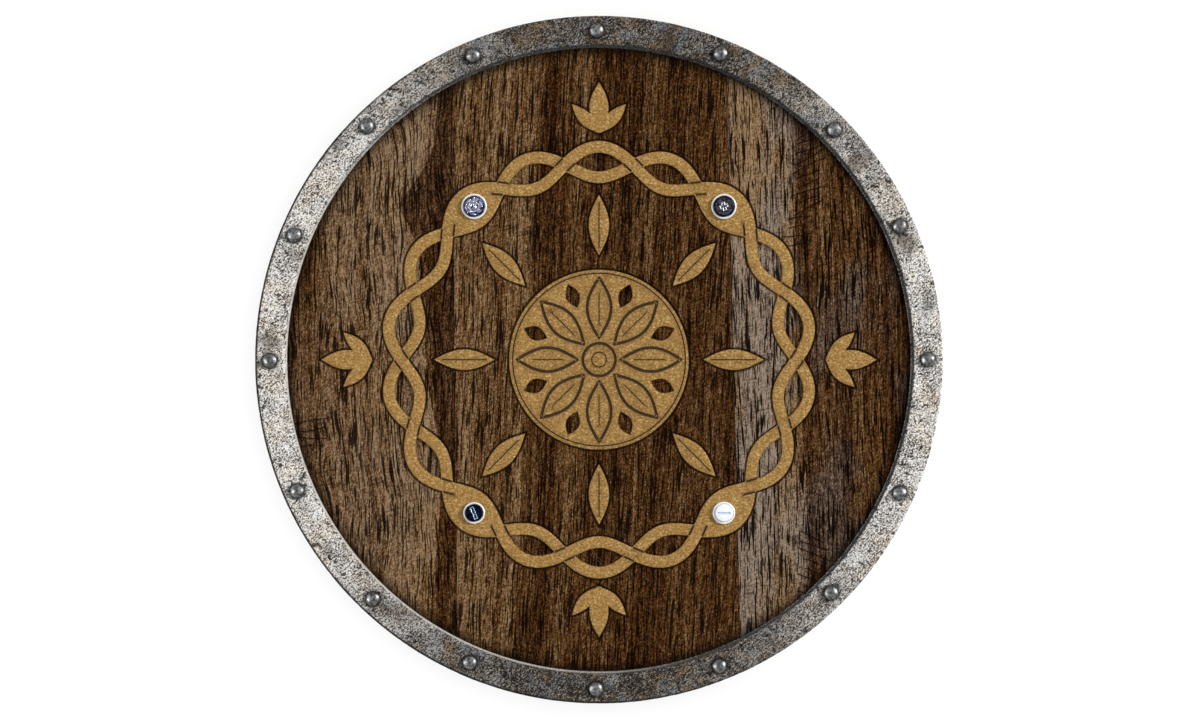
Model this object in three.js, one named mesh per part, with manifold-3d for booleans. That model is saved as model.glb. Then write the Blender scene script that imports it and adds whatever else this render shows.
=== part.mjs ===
// Round wooden shield, about 24 inches across, lying on its back with its face up.
// Three walnut boards lie edge to edge. A flat iron ring covers the margin of their face, held
// by sixteen domed rivets, and an iron band goes round their edge and past them at the back.
// A brass ornament is let into the face: a pierced rosette, eight leaves, a braided ring and
// four palmettes. Four bolts in cup washers go through the ring and the boards, and carry two
// leather straps on the back.
//
// Millimetres, +Z up. The origin is at the centre of the band's lower edge, +Y is the top of
// the ornament and +X its right side.

import * as THREE from 'three';
import { mergeVertices } from 'three/addons/utils/BufferGeometryUtils.js';
import Module from 'manifold-3d';

const wasm = await Module();
wasm.setup();

// ---------------------------------------------------------------- driving dimensions

const GAP = 0.3;                      // clearance between pieces that touch
const CUT_PAST = 1;                   // how far a cutting body runs past the face it cuts
const FULL_TURN = 2 * Math.PI;
const RIGHT_ANGLE = Math.PI / 2;

const SHIELD_RADIUS = 305;
const RIM_DEPTH = 34;                 // from the band's lower edge to the ring's top face
const RIM_SEGMENTS = 64;
const BAND_THICKNESS = 3;
const RING_THICKNESS = 3.5;
const RING_INNER_RADIUS = 276.2;      // foot of the inner bevel, on the wood
const RING_BEVEL = 3.4;               // how far the bevel runs outward as it climbs
const EDGE_ROUNDING = 2.4;

const BOARD_THICKNESS = 13;
const BOARD_RADIUS = SHIELD_RADIUS - BAND_THICKNESS - 0.5;
const SEAM_REACH = 400;               // a seam is drawn well past the edge of the disc
const SEAM_SLOPE_SPAN = 245;          // the height above and below the centre where x is given
const SEAMS = [
  { upperX: -131, lowerX: -126 },
  { upperX: 113, lowerX: 125 },
];

const FACE_Z = RIM_DEPTH - RING_THICKNESS - GAP;
const BACK_Z = FACE_Z - BOARD_THICKNESS;

const RIVET_CIRCLE_RADIUS = 291.4;
// Each rivet's shift from its even place round the ring, in degrees clockwise from the top one.
const RIVET_SHIFTS = [
  -0.4, -0.8, 0.7, -1.4, 0, 1.4, 0.1, 1, 0.5, 0.6, -1.6, -1, -0.2, -0.3, 0.2, 0,
];
const RIVET_HEAD_RADIUS = 6.8;
const RIVET_HEAD_HEIGHT = 4.6;
const RIVET_SHANK_RADIUS = 3;
const RIVET_TAIL_RADIUS = 4.8;
const RIVET_TAIL_HEIGHT = 1.6;
const RIVET_SEGMENTS = 8;

const BOLT_X = 110.8;
const BOLT_Y = 135.9;
const BOLT_SHANK_RADIUS = 3;
const BOLT_HOLE_RADIUS = 3.5;
const BOLT_TIP_Z = 4.2;
const BOLT_HEAD_RISE = 3;
const BOLT_HEAD_CROWN = 0.4;          // how much the middle of the head stands above its edge
const BOLT_HEAD_EDGE = { drop: 1.2, share: 0.86 };
const BOLT_RECESS_DEPTH = 1.6;
const HEXAGON_SHARE = 0.52;           // sizes of the recesses as shares of the head's radius
const SLOT_LENGTH_SHARE = 1.5;
const SLOT_WIDTH_SHARE = 0.24;
const BOLT_SEGMENTS = 10;
const BOLT_HOLE_SEGMENTS = 8;
const BACK_WASHER_SEGMENTS = 8;
const CUP_FLOOR = 1;
const CUP_LIP_HEIGHT = 2.2;
const CUP_LIP_WIDTH = 1.7;
const CUP_WALL_SHARE = 0.6;           // height of the cup's upright wall, as a share of its lip
const BACK_WASHER_RADIUS = 9;
const BACK_WASHER_THICKNESS = 1.5;
const NUT_RADIUS = 6.4;               // centre to corner
const NUT_HEIGHT = 5;
const BOLTS = [
  { place: 'upper_left', side: -1, level: 1, cupRadius: 11.3, recess: 'hexagon', turn: 0.2 },
  { place: 'upper_right', side: 1, level: 1, cupRadius: 11.2, recess: 'cross', turn: 0.3 },
  { place: 'lower_left', side: -1, level: -1, cupRadius: 9.6, recess: 'slot', turn: 0.8 },
  { place: 'lower_right', side: 1, level: -1, cupRadius: 10, recess: 'slot', turn: 0 },
];

const STRAP_THICKNESS = 4;
const STRAP_WIDTH = 44;
const STRAP_END = 20;                 // how far a strap runs on past its bolt
const STRAP_FLAT = 22;                // how far it lies flat inside its bolt
const STRAP_CLEARANCE = 1.5;          // under its lowest point
const STRAP_STEPS = 12;
const STRAP_END_STEPS = 6;

const INLAY_SUNK = 1;                 // brass face below the wood's face
const INLAY_THICKNESS = 1.6;
const INLAY_TOP_Z = FACE_Z - INLAY_SUNK;
const POCKET_FLOOR_Z = INLAY_TOP_Z - INLAY_THICKNESS - GAP;

const BRAID_RADIUS = 175.4;
const BRAID_SWING = 13.6;             // how far each strand leaves the ring's mean circle
const BRAID_HALF_WIDTH = 5.4;
const BRAID_CROSSINGS = 18;
const BRAID_STEPS = 4;                // outline points from one crossing to the next
const EYE_EDGE_SHARES = [0.15, 0.38, 0.62, 0.85];

const ROSETTE_RADIUS = 80;
const ROSETTE_SEGMENTS = 36;
const ROSETTE_PETALS = 8;
const WINDOW_INNER = 50;
const WINDOW_OUTER = 72;
const WINDOW_HALF_WIDTH = 6;
const WINDOW_STEPS = 3;

const LEAF_COUNT = 8;
const LEAF_INNER = 92;
const LEAF_OUTER = 147;
const LEAF_HALF_WIDTH = 9.4;
const LEAF_STEPS = 4;

const PALMETTE_NAMES = ['right', 'top', 'left', 'bottom'];
const PALMETTE_BASE = 201;
const PALMETTE_MIDDLE = { length: 46, halfWidth: 8.8, lean: 0 };
const PALMETTE_SIDE = { length: 36, halfWidth: 6, lean: 0.75 };
const PALMETTE_KNOT_RADIUS = 5;
const PALMETTE_KNOT_SEGMENTS = 8;

// ---------------------------------------------------------------- materials

function material(colour, roughness, metalness) {
  return new THREE.MeshStandardMaterial({ color: colour, roughness, metalness });
}

const FINISH = {
  iron: () => material(0x8f8a83, 0.62, 0.85),
  rivet: () => material(0x55565a, 0.35, 0.9),
  walnutLight: () => material(0x614932, 0.7, 0),
  walnutDark: () => material(0x4c341f, 0.7, 0),
  walnutPale: () => material(0x6a523c, 0.7, 0),
  brass: () => material(0xa17c45, 0.5, 0.6),
  steel: () => material(0xb9bcc4, 0.25, 1),
  leather: () => material(0x4a2f1d, 0.75, 0),
};

// ---------------------------------------------------------------- geometry helpers

// A closed three.js geometry as a solid that can be cut and joined.
function solidOf(geometry) {
  const bare = geometry.index ? geometry : mergeVertices(geometry);
  bare.deleteAttribute('normal');
  bare.deleteAttribute('uv');
  const merged = mergeVertices(bare);
  const corners = merged.index.array;
  const kept = [];
  for (let i = 0; i < corners.length; i += 3) {
    const [a, b, c] = corners.slice(i, i + 3);
    if (a !== b && b !== c && c !== a) {
      kept.push(a, b, c);
    }
  }
  return new wasm.Manifold(new wasm.Mesh({
    numProp: 3,
    vertProperties: new Float32Array(merged.attributes.position.array),
    triVerts: new Uint32Array(kept),
  }));
}

function geometryOf(solid) {
  const mesh = solid.getMesh();
  const geometry = new THREE.BufferGeometry();
  geometry.setAttribute('position', new THREE.BufferAttribute(mesh.vertProperties, 3));
  geometry.setIndex(new THREE.BufferAttribute(mesh.triVerts, 1));
  geometry.computeVertexNormals();
  return geometry;
}

function joined(solids) {
  return solids.reduce((sum, solid) => sum.add(solid));
}

// A body turned about Z. The profile lists [radius, z] and keeps the material on its left.
function turned(profile, segments) {
  const points = profile.map(([radius, z]) => new THREE.Vector2(radius, z));
  const geometry = new THREE.LatheGeometry(points, segments);
  return geometry.rotateX(RIGHT_ANGLE);
}

function turnedRing(profile, segments) {
  return turned([...profile, profile[0]], segments);
}

function rod(radius, lowZ, highZ, segments, x = 0, y = 0) {
  const geometry = new THREE.CylinderGeometry(radius, radius, highZ - lowZ, segments);
  geometry.rotateX(RIGHT_ANGLE);
  return geometry.translate(x, y, (lowZ + highZ) / 2);
}

// A plate with the given outline in the XY plane, between two heights.
function plate(outline, lowZ, highZ, holes = []) {
  const shape = new THREE.Shape(outline);
  shape.holes = holes.map((hole) => new THREE.Path(hole));
  const geometry = new THREE.ExtrudeGeometry(shape, { depth: highZ - lowZ, bevelEnabled: false });
  return geometry.translate(0, 0, lowZ);
}

function polar(radius, angle) {
  return new THREE.Vector2(radius * Math.cos(angle), radius * Math.sin(angle));
}

function around(count, radiusAt) {
  return Array.from({ length: count }, (_, k) => radiusAt((FULL_TURN * k) / count));
}

function circle(radius, segments) {
  return around(segments, (angle) => polar(radius, angle));
}

// ---------------------------------------------------------------- the ornament's outlines

// A leaf pointed at both ends, starting at the base point and running along the angle.
function leafOutline(base, angle, length, halfWidth, grow, steps = LEAF_STEPS) {
  const reach = 2 * grow;
  const along = new THREE.Vector2(Math.cos(angle), Math.sin(angle));
  const across = new THREE.Vector2(-along.y, along.x);
  const edge = (step, side) => {
    const share = step / steps;
    const forward = -reach + share * (length + 2 * reach);
    const sideways = side * (halfWidth + grow) * Math.sin(Math.PI * share);
    return base.clone().addScaledVector(along, forward).addScaledVector(across, sideways);
  };
  const right = Array.from({ length: steps }, (_, step) => edge(step, -1));
  const left = Array.from({ length: steps }, (_, step) => edge(steps - step, 1));
  return [...right, ...left];
}

// Two strands swing about the ring's mean circle as sine waves and cross at every half turn of
// phase. These are how far from that circle a strand's centre and its half width reach.
function strandSwing(phase) {
  return BRAID_SWING * Math.abs(Math.sin(phase));
}

function strandHalfWidth(phase) {
  const slope = (BRAID_SWING * BRAID_CROSSINGS * Math.cos(phase)) / (2 * BRAID_RADIUS);
  return BRAID_HALF_WIDTH * Math.hypot(1, slope);
}

function braidEdge(side, grow) {
  return around(BRAID_CROSSINGS * BRAID_STEPS, (angle) => {
    const phase = (angle * BRAID_CROSSINGS) / 2;
    const reach = strandSwing(phase) + strandHalfWidth(phase) + grow;
    return polar(BRAID_RADIUS + side * reach, angle);
  });
}

// The gap between the strands from crossing number k to the next one, as a closed outline.
function braidEye(k) {
  const edge = (share, side) => {
    const phase = Math.PI * share;
    const reach = Math.max(strandSwing(phase) - strandHalfWidth(phase), 0);
    return polar(BRAID_RADIUS + side * reach, ((k + share) * FULL_TURN) / BRAID_CROSSINGS);
  };
  const outer = EYE_EDGE_SHARES.map((share) => edge(share, 1));
  const inner = EYE_EDGE_SHARES.slice(1, -1).map((share) => edge(share, -1));
  return [...outer, ...inner.reverse()];
}

// The eye that each bolt goes through is closed by a solid boss.
function boltEyes() {
  return BOLTS.map(boltPlace).map(({ x, y }) => {
    const angle = (Math.atan2(y, x) + FULL_TURN) % FULL_TURN;
    return Math.floor((angle * BRAID_CROSSINGS) / FULL_TURN);
  });
}

function braidRing(lowZ, highZ) {
  const closed = boltEyes();
  const numbers = Array.from({ length: BRAID_CROSSINGS }, (_, k) => k);
  const eyes = numbers.filter((k) => !closed.includes(k)).map(braidEye);
  const ring = solidOf(plate(braidEdge(1, 0), lowZ, highZ, [braidEdge(-1, 0), ...eyes]));
  return ring.subtract(joined(boltHoles(lowZ, highZ)));
}

function braidPocket(lowZ, highZ) {
  return solidOf(plate(braidEdge(1, GAP), lowZ, highZ, [braidEdge(-1, GAP)]));
}

function rosette(lowZ, highZ) {
  const windows = Array.from({ length: ROSETTE_PETALS }, (_, k) => {
    const angle = (FULL_TURN * (k + 0.5)) / ROSETTE_PETALS;
    const length = WINDOW_OUTER - WINDOW_INNER;
    const base = polar(WINDOW_INNER, angle);
    return leafOutline(base, angle, length, WINDOW_HALF_WIDTH, 0, WINDOW_STEPS);
  });
  return solidOf(plate(circle(ROSETTE_RADIUS, ROSETTE_SEGMENTS), lowZ, highZ, windows));
}

function rosettePocket(lowZ, highZ) {
  return solidOf(plate(circle(ROSETTE_RADIUS + GAP, ROSETTE_SEGMENTS), lowZ, highZ));
}

function leaf(index, lowZ, highZ, grow) {
  const angle = (FULL_TURN * index) / LEAF_COUNT;
  const outline = leafOutline(
    polar(LEAF_INNER, angle), angle, LEAF_OUTER - LEAF_INNER, LEAF_HALF_WIDTH, grow,
  );
  return solidOf(plate(outline, lowZ, highZ));
}

function palmette(index, lowZ, highZ, grow) {
  const angle = RIGHT_ANGLE * index;
  const base = polar(PALMETTE_BASE, angle);
  const lobes = [
    { ...PALMETTE_SIDE, lean: -PALMETTE_SIDE.lean },
    PALMETTE_MIDDLE,
    PALMETTE_SIDE,
  ];
  const leaves = lobes.map(({ length, halfWidth, lean }) => (
    solidOf(plate(leafOutline(base, angle + lean, length, halfWidth, grow), lowZ, highZ))
  ));
  const knotCentre = polar(PALMETTE_BASE + PALMETTE_KNOT_RADIUS, angle);
  const knot = solidOf(rod(
    PALMETTE_KNOT_RADIUS + grow, lowZ, highZ, PALMETTE_KNOT_SEGMENTS, knotCentre.x, knotCentre.y,
  ));
  return joined([...leaves, knot]);
}

// Every plate of the ornament, by name, with builders of the plate and of its pocket.
function ornament() {
  const pieces = [
    { name: 'inlay_rosette', build: rosette, cut: rosettePocket },
    { name: 'inlay_braid_ring', build: braidRing, cut: braidPocket },
  ];
  for (let k = 0; k < LEAF_COUNT; k += 1) {
    pieces.push({
      name: `inlay_leaf_${k + 1}`,
      build: (low, high) => leaf(k, low, high, 0),
      cut: (low, high) => leaf(k, low, high, GAP),
    });
  }
  PALMETTE_NAMES.forEach((name, k) => {
    pieces.push({
      name: `inlay_palmette_${name}`,
      build: (low, high) => palmette(k, low, high, 0),
      cut: (low, high) => palmette(k, low, high, GAP),
    });
  });
  return pieces;
}

// ---------------------------------------------------------------- places of the fasteners

function rivetPlaces() {
  return RIVET_SHIFTS.map((shift, k) => (
    polar(RIVET_CIRCLE_RADIUS, RIGHT_ANGLE - FULL_TURN * (k / RIVET_SHIFTS.length + shift / 360))
  ));
}

function rivetHoles(lowZ, highZ) {
  return rivetPlaces().map(({ x, y }) => (
    solidOf(rod(RIVET_SHANK_RADIUS + GAP, lowZ - CUT_PAST, highZ + CUT_PAST, RIVET_SEGMENTS, x, y))
  ));
}

function boltPlace(bolt) {
  return new THREE.Vector2(bolt.side * BOLT_X, bolt.level * BOLT_Y);
}

function boltHoles(lowZ, highZ) {
  return BOLTS.map(boltPlace).map(({ x, y }) => (
    solidOf(rod(BOLT_HOLE_RADIUS, lowZ - CUT_PAST, highZ + CUT_PAST, BOLT_HOLE_SEGMENTS, x, y))
  ));
}

// ---------------------------------------------------------------- the pieces

const shield = new THREE.Group();

function addPiece(name, geometry, finish) {
  const mesh = new THREE.Mesh(geometry, finish());
  mesh.name = name;
  shield.add(mesh);
  return mesh;
}

function addFaceRing() {
  const top = RIM_DEPTH;
  const under = RIM_DEPTH - RING_THICKNESS;
  const corner = EDGE_ROUNDING * (1 - Math.SQRT1_2);   // the middle of the rounded edge
  const ring = solidOf(turnedRing([
    [RING_INNER_RADIUS, under],
    [SHIELD_RADIUS, under],
    [SHIELD_RADIUS, top - EDGE_ROUNDING],
    [SHIELD_RADIUS - corner, top - corner],
    [SHIELD_RADIUS - EDGE_ROUNDING, top],
    [RING_INNER_RADIUS + RING_BEVEL, top],
  ], RIM_SEGMENTS));
  const drilled = ring.subtract(joined(rivetHoles(under, top)));
  addPiece('iron_face_ring', geometryOf(drilled), FINISH.iron);
}

function addEdgeBand() {
  const inside = SHIELD_RADIUS - BAND_THICKNESS;
  const bandTop = RIM_DEPTH - RING_THICKNESS - GAP;
  const band = turnedRing([
    [inside, 0],
    [SHIELD_RADIUS, 0],
    [SHIELD_RADIUS, bandTop],
    [inside, bandTop],
  ], RIM_SEGMENTS);
  addPiece('iron_edge_band', band, FINISH.iron);
}

function addRivets() {
  const headFoot = RIM_DEPTH + GAP;
  const tailTop = BACK_Z - GAP;
  const dome = (share) => [
    RIVET_HEAD_RADIUS * Math.cos(share * RIGHT_ANGLE),
    headFoot + RIVET_HEAD_HEIGHT * Math.sin(share * RIGHT_ANGLE),
  ];
  const profile = [
    [0, tailTop - RIVET_TAIL_HEIGHT],
    [RIVET_TAIL_RADIUS, tailTop],
    [RIVET_SHANK_RADIUS, tailTop],
    [RIVET_SHANK_RADIUS, headFoot],
    dome(0),
    dome(0.5),
    [0, headFoot + RIVET_HEAD_HEIGHT],
  ];
  rivetPlaces().forEach(({ x, y }, k) => {
    const name = `rivet_${String(k + 1).padStart(2, '0')}`;
    const rivet = addPiece(name, turned(profile, RIVET_SEGMENTS), FINISH.rivet);
    rivet.position.set(x, y, 0);
  });
}

// The x of a seam where it passes the height y.
function seamX(seam, y) {
  const share = (y + SEAM_SLOPE_SPAN) / (2 * SEAM_SLOPE_SPAN);
  return seam.lowerX + share * (seam.upperX - seam.lowerX);
}

function boardStrip(leftSeam, rightSeam) {
  const left = (y) => (leftSeam ? seamX(leftSeam, y) + GAP / 2 : -SEAM_REACH);
  const right = (y) => (rightSeam ? seamX(rightSeam, y) - GAP / 2 : SEAM_REACH);
  return solidOf(plate([
    new THREE.Vector2(left(-SEAM_REACH), -SEAM_REACH),
    new THREE.Vector2(right(-SEAM_REACH), -SEAM_REACH),
    new THREE.Vector2(right(SEAM_REACH), SEAM_REACH),
    new THREE.Vector2(left(SEAM_REACH), SEAM_REACH),
  ], BACK_Z, FACE_Z));
}

function addBoards() {
  const disc = solidOf(rod(BOARD_RADIUS, BACK_Z - CUT_PAST, FACE_Z + CUT_PAST, RIM_SEGMENTS));
  const cuts = joined([
    ...ornament().map(({ cut }) => cut(POCKET_FLOOR_Z, FACE_Z + CUT_PAST)),
    ...rivetHoles(BACK_Z, FACE_Z),
    ...boltHoles(BACK_Z, FACE_Z),
  ]);
  const boards = [
    { name: 'board_left', from: null, to: SEAMS[0], finish: FINISH.walnutLight },
    { name: 'board_middle', from: SEAMS[0], to: SEAMS[1], finish: FINISH.walnutDark },
    { name: 'board_right', from: SEAMS[1], to: null, finish: FINISH.walnutPale },
  ];
  boards.forEach(({ name, from, to, finish }) => {
    addPiece(name, geometryOf(boardStrip(from, to).intersect(disc).subtract(cuts)), finish);
  });
}

function addOrnament() {
  ornament().forEach(({ name, build }) => {
    const solid = build(INLAY_TOP_Z - INLAY_THICKNESS, INLAY_TOP_Z);
    addPiece(name, geometryOf(solid), FINISH.brass);
  });
}

function recessCutter(bolt, headRadius, topZ) {
  const lowZ = topZ - BOLT_RECESS_DEPTH;
  const highZ = topZ + CUT_PAST;
  if (bolt.recess === 'hexagon') {
    return solidOf(rod(headRadius * HEXAGON_SHARE, lowZ, highZ, 6).rotateZ(bolt.turn));
  }
  const length = headRadius * SLOT_LENGTH_SHARE;
  const width = headRadius * SLOT_WIDTH_SHARE;
  const slot = new THREE.BoxGeometry(length, width, highZ - lowZ);
  slot.rotateZ(bolt.turn);
  slot.translate(0, 0, (lowZ + highZ) / 2);
  if (bolt.recess === 'slot') {
    return solidOf(slot);
  }
  return solidOf(slot.clone().rotateZ(RIGHT_ANGLE)).add(solidOf(slot));
}

function addBolt(bolt) {
  const { x, y } = boltPlace(bolt);
  const cupFoot = INLAY_TOP_Z + GAP;
  const headFoot = cupFoot + CUP_FLOOR + GAP;
  const headRadius = bolt.cupRadius - CUP_LIP_WIDTH - GAP;
  const headTop = headFoot + BOLT_HEAD_RISE;
  const screw = solidOf(turned([
    [0, BOLT_TIP_Z],
    [BOLT_SHANK_RADIUS, BOLT_TIP_Z],
    [BOLT_SHANK_RADIUS, headFoot],
    [headRadius, headFoot],
    [headRadius, headTop - BOLT_HEAD_EDGE.drop],
    [headRadius * BOLT_HEAD_EDGE.share, headTop - BOLT_HEAD_CROWN],
    [0, headTop],
  ], BOLT_SEGMENTS));
  const cut = screw.subtract(recessCutter(bolt, headRadius, headTop));
  addPiece(`bolt_${bolt.place}`, geometryOf(cut), FINISH.steel).position.set(x, y, 0);

  const cup = turnedRing([
    [BOLT_HOLE_RADIUS, cupFoot],
    [bolt.cupRadius, cupFoot],
    [bolt.cupRadius, cupFoot + CUP_LIP_HEIGHT * CUP_WALL_SHARE],
    [bolt.cupRadius - CUP_LIP_WIDTH / 2, cupFoot + CUP_LIP_HEIGHT],
    [bolt.cupRadius - CUP_LIP_WIDTH, cupFoot + CUP_FLOOR],
    [BOLT_HOLE_RADIUS, cupFoot + CUP_FLOOR],
  ], BOLT_SEGMENTS);
  addPiece(`cup_washer_${bolt.place}`, cup, FINISH.steel).position.set(x, y, 0);
}

function addBoltBack(bolt) {
  const { x, y } = boltPlace(bolt);
  const washerTop = BACK_Z - GAP - STRAP_THICKNESS - GAP;
  const washerFoot = washerTop - BACK_WASHER_THICKNESS;
  const washer = turnedRing([
    [BOLT_HOLE_RADIUS, washerFoot],
    [BACK_WASHER_RADIUS, washerFoot],
    [BACK_WASHER_RADIUS, washerTop],
    [BOLT_HOLE_RADIUS, washerTop],
  ], BACK_WASHER_SEGMENTS);
  addPiece(`back_washer_${bolt.place}`, washer, FINISH.steel).position.set(x, y, 0);

  const nutTop = washerFoot - GAP;
  const blank = solidOf(rod(NUT_RADIUS, nutTop - NUT_HEIGHT, nutTop, 6));
  const bore = rod(
    BOLT_HOLE_RADIUS, nutTop - NUT_HEIGHT - CUT_PAST, nutTop + CUT_PAST, BOLT_HOLE_SEGMENTS,
  );
  const nut = geometryOf(blank.subtract(solidOf(bore)));
  addPiece(`nut_${bolt.place}`, nut, FINISH.steel).position.set(x, y, 0);
}

// A strap seen from its side as [y, z] points: flat at both bolts, hanging low between them.
function strapProfile() {
  const flatHalf = BOLT_Y - STRAP_FLAT;
  const endY = BOLT_Y + STRAP_END;
  const endTop = BACK_Z - GAP;
  const drop = endTop - STRAP_THICKNESS - STRAP_CLEARANCE;
  const topAt = (y) => endTop - drop * (1 - (y / flatHalf) ** 4) ** 2;
  const sag = Array.from({ length: STRAP_STEPS + 1 }, (_, k) => {
    const y = flatHalf * ((2 * k) / STRAP_STEPS - 1);
    return new THREE.Vector2(y, topAt(y));
  });
  const top = [new THREE.Vector2(-endY, endTop), ...sag, new THREE.Vector2(endY, endTop)];
  const bottom = top.map(({ x, y }) => new THREE.Vector2(x, y - STRAP_THICKNESS));
  return [...bottom, ...top.reverse()];
}

// The strap's plan: a long band with round ends.
function strapPlan() {
  const half = STRAP_WIDTH / 2;
  const straight = BOLT_Y + STRAP_END - half;
  const end = (side) => Array.from({ length: STRAP_END_STEPS + 1 }, (_, k) => {
    const angle = (side > 0 ? 0 : Math.PI) + (Math.PI * k) / STRAP_END_STEPS;
    return polar(half, angle).add(new THREE.Vector2(0, side * straight));
  });
  return [...end(1), ...end(-1)];
}

function addStrap(name, side) {
  const band = new THREE.ExtrudeGeometry(
    new THREE.Shape(strapProfile()), { depth: STRAP_WIDTH, bevelEnabled: false },
  );
  band.rotateX(RIGHT_ANGLE);
  band.rotateZ(RIGHT_ANGLE);
  band.translate(-STRAP_WIDTH / 2, 0, 0);
  const plan = solidOf(plate(strapPlan(), 0, BACK_Z));
  const holes = [BOLT_Y, -BOLT_Y].map((y) => (
    solidOf(rod(BOLT_HOLE_RADIUS, 0, BACK_Z, BOLT_HOLE_SEGMENTS, 0, y))
  ));
  const strap = solidOf(band).intersect(plan).subtract(joined(holes));
  addPiece(name, geometryOf(strap), FINISH.leather).position.set(side * BOLT_X, 0, 0);
}

addFaceRing();
addEdgeBand();
addBoards();
addRivets();
addOrnament();
BOLTS.forEach(addBolt);
BOLTS.forEach(addBoltBack);
addStrap('arm_strap', -1);
addStrap('hand_grip', 1);

export default shield;
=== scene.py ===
"""Looks of a round wooden shield: walnut boards, pitted iron rim, sunk brass ornament."""

from __future__ import annotations

import logging
import math
from collections.abc import Callable
from dataclasses import dataclass, field
from enum import Enum

import bmesh
import bpy
import numpy as np
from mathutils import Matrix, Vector
from mathutils.geometry import delaunay_2d_cdt


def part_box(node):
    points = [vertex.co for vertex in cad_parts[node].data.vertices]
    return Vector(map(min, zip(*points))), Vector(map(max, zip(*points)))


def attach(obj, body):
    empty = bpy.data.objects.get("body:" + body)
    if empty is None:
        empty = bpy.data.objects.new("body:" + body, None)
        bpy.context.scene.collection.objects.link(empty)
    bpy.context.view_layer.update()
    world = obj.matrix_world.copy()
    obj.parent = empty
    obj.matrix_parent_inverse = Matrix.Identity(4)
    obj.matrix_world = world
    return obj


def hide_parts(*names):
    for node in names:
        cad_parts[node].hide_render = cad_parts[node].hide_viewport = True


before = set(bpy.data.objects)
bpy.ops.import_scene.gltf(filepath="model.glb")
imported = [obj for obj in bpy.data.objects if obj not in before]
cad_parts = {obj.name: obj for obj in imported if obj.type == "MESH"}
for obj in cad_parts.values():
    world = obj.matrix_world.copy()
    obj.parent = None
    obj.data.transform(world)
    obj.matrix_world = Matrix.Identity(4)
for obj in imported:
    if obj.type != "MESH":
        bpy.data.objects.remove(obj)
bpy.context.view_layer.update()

LOG = logging.getLogger("shield")

MM = 0.001
TURN = 2 * math.pi
QUARTER = math.pi / 2

# ---------------------------------------------------------------- sizes read from the frame

RING_LOW, RING_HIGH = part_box("iron_face_ring")
BAND_LOW, BAND_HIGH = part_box("iron_edge_band")
BOARD_LOW, BOARD_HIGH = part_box("board_middle")
INLAY_LOW, INLAY_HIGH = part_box("inlay_rosette")
SHIELD_RADIUS = RING_HIGH[0]
RING_TOP = RING_HIGH[2]
RING_FOOT = RING_LOW[2]
FACE_Z = BOARD_HIGH[2]
BACK_Z = BOARD_LOW[2]
INLAY_TOP = INLAY_HIGH[2]
INLAY_FOOT = INLAY_LOW[2]
ROSETTE_RADIUS = INLAY_HIGH[0]

# ---------------------------------------------------------------- sizes shared with the solids

RING_INNER_RADIUS = 276.2 * MM
RING_BEVEL = 3.4 * MM
EDGE_ROUNDING = 2.4 * MM
BAND_THICKNESS = 3 * MM
BOARD_RADIUS = SHIELD_RADIUS - BAND_THICKNESS - 0.5 * MM
GAP = 0.3 * MM
POCKET_DEPTH = FACE_Z - INLAY_FOOT + GAP
SEAM_SPAN = 245 * MM
SEAMS = ((-131 * MM, -126 * MM), (113 * MM, 125 * MM))

BRAID_RADIUS = 175.4 * MM
BRAID_SWING = 13.6 * MM
BRAID_HALF_WIDTH = 5.4 * MM
BRAID_CROSSINGS = 18

PETALS = 8
WINDOW = (50 * MM, 72 * MM, 6 * MM)
LEAVES = 8
LEAF = (92 * MM, 147 * MM, 9.4 * MM)
PALMETTE_BASE = 201 * MM
PALMETTE_KNOT = 5 * MM
PALMETTE_LOBES = ((36 * MM, 6 * MM, -0.75), (46 * MM, 8.8 * MM, 0.0), (36 * MM, 6 * MM, 0.75))

BOLT_HOLE_RADIUS = 3.5 * MM


class Slot(Enum):
    """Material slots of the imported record."""

    IRON = "iron"
    RIVET = "rivet_steel"
    WALNUT_LIGHT = "walnut_light"
    WALNUT_DARK = "walnut_dark"
    WALNUT_PALE = "walnut_pale"
    BRASS = "brass"
    CHROME = "chrome"
    DARK_STEEL = "dark_steel"
    BRIGHT_STEEL = "bright_steel"
    LEATHER = "leather"


# ---------------------------------------------------------------- noise and curves in numpy


def hashed(cells: np.ndarray, seed: int) -> np.ndarray:
    """Give every lattice cell a fixed value from -1 to 1.

    Args:
        cells: whole-number lattice places, one row each.
        seed: picks one of many fields.

    Returns:
        One value per row.
    """
    mixed = cells @ np.array([73856093, 19349663, 83492791]) + seed * 26544357
    mixed = (mixed ^ (mixed >> 13)) * 1274126177
    return ((mixed ^ (mixed >> 16)) & 0xFFFF) / 32767.5 - 1.0


def value_noise(points: np.ndarray, cell: float, seed: int) -> np.ndarray:
    """Smooth noise: hashed values at the lattice corners, blended by smoothstep weights.

    Args:
        points: places, one row of x, y, z each.
        cell: lattice spacing.
        seed: picks one of many fields.

    Returns:
        One value from -1 to 1 per point.
    """
    place = points / cell
    low = np.floor(place).astype(np.int64)
    part = place - low
    part = part * part * (3 - 2 * part)
    total = np.zeros(len(points))
    for corner in range(8):
        step = np.array([(corner >> axis) & 1 for axis in range(3)])
        total += np.prod(np.where(step, part, 1 - part), axis=1) * hashed(low + step, seed)
    return total


def polar(radius: np.ndarray | float, angle: np.ndarray | float) -> np.ndarray:
    """Turn radii and angles into x, y rows."""
    return np.stack(np.broadcast_arrays(radius * np.cos(angle), radius * np.sin(angle)), axis=-1)


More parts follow.
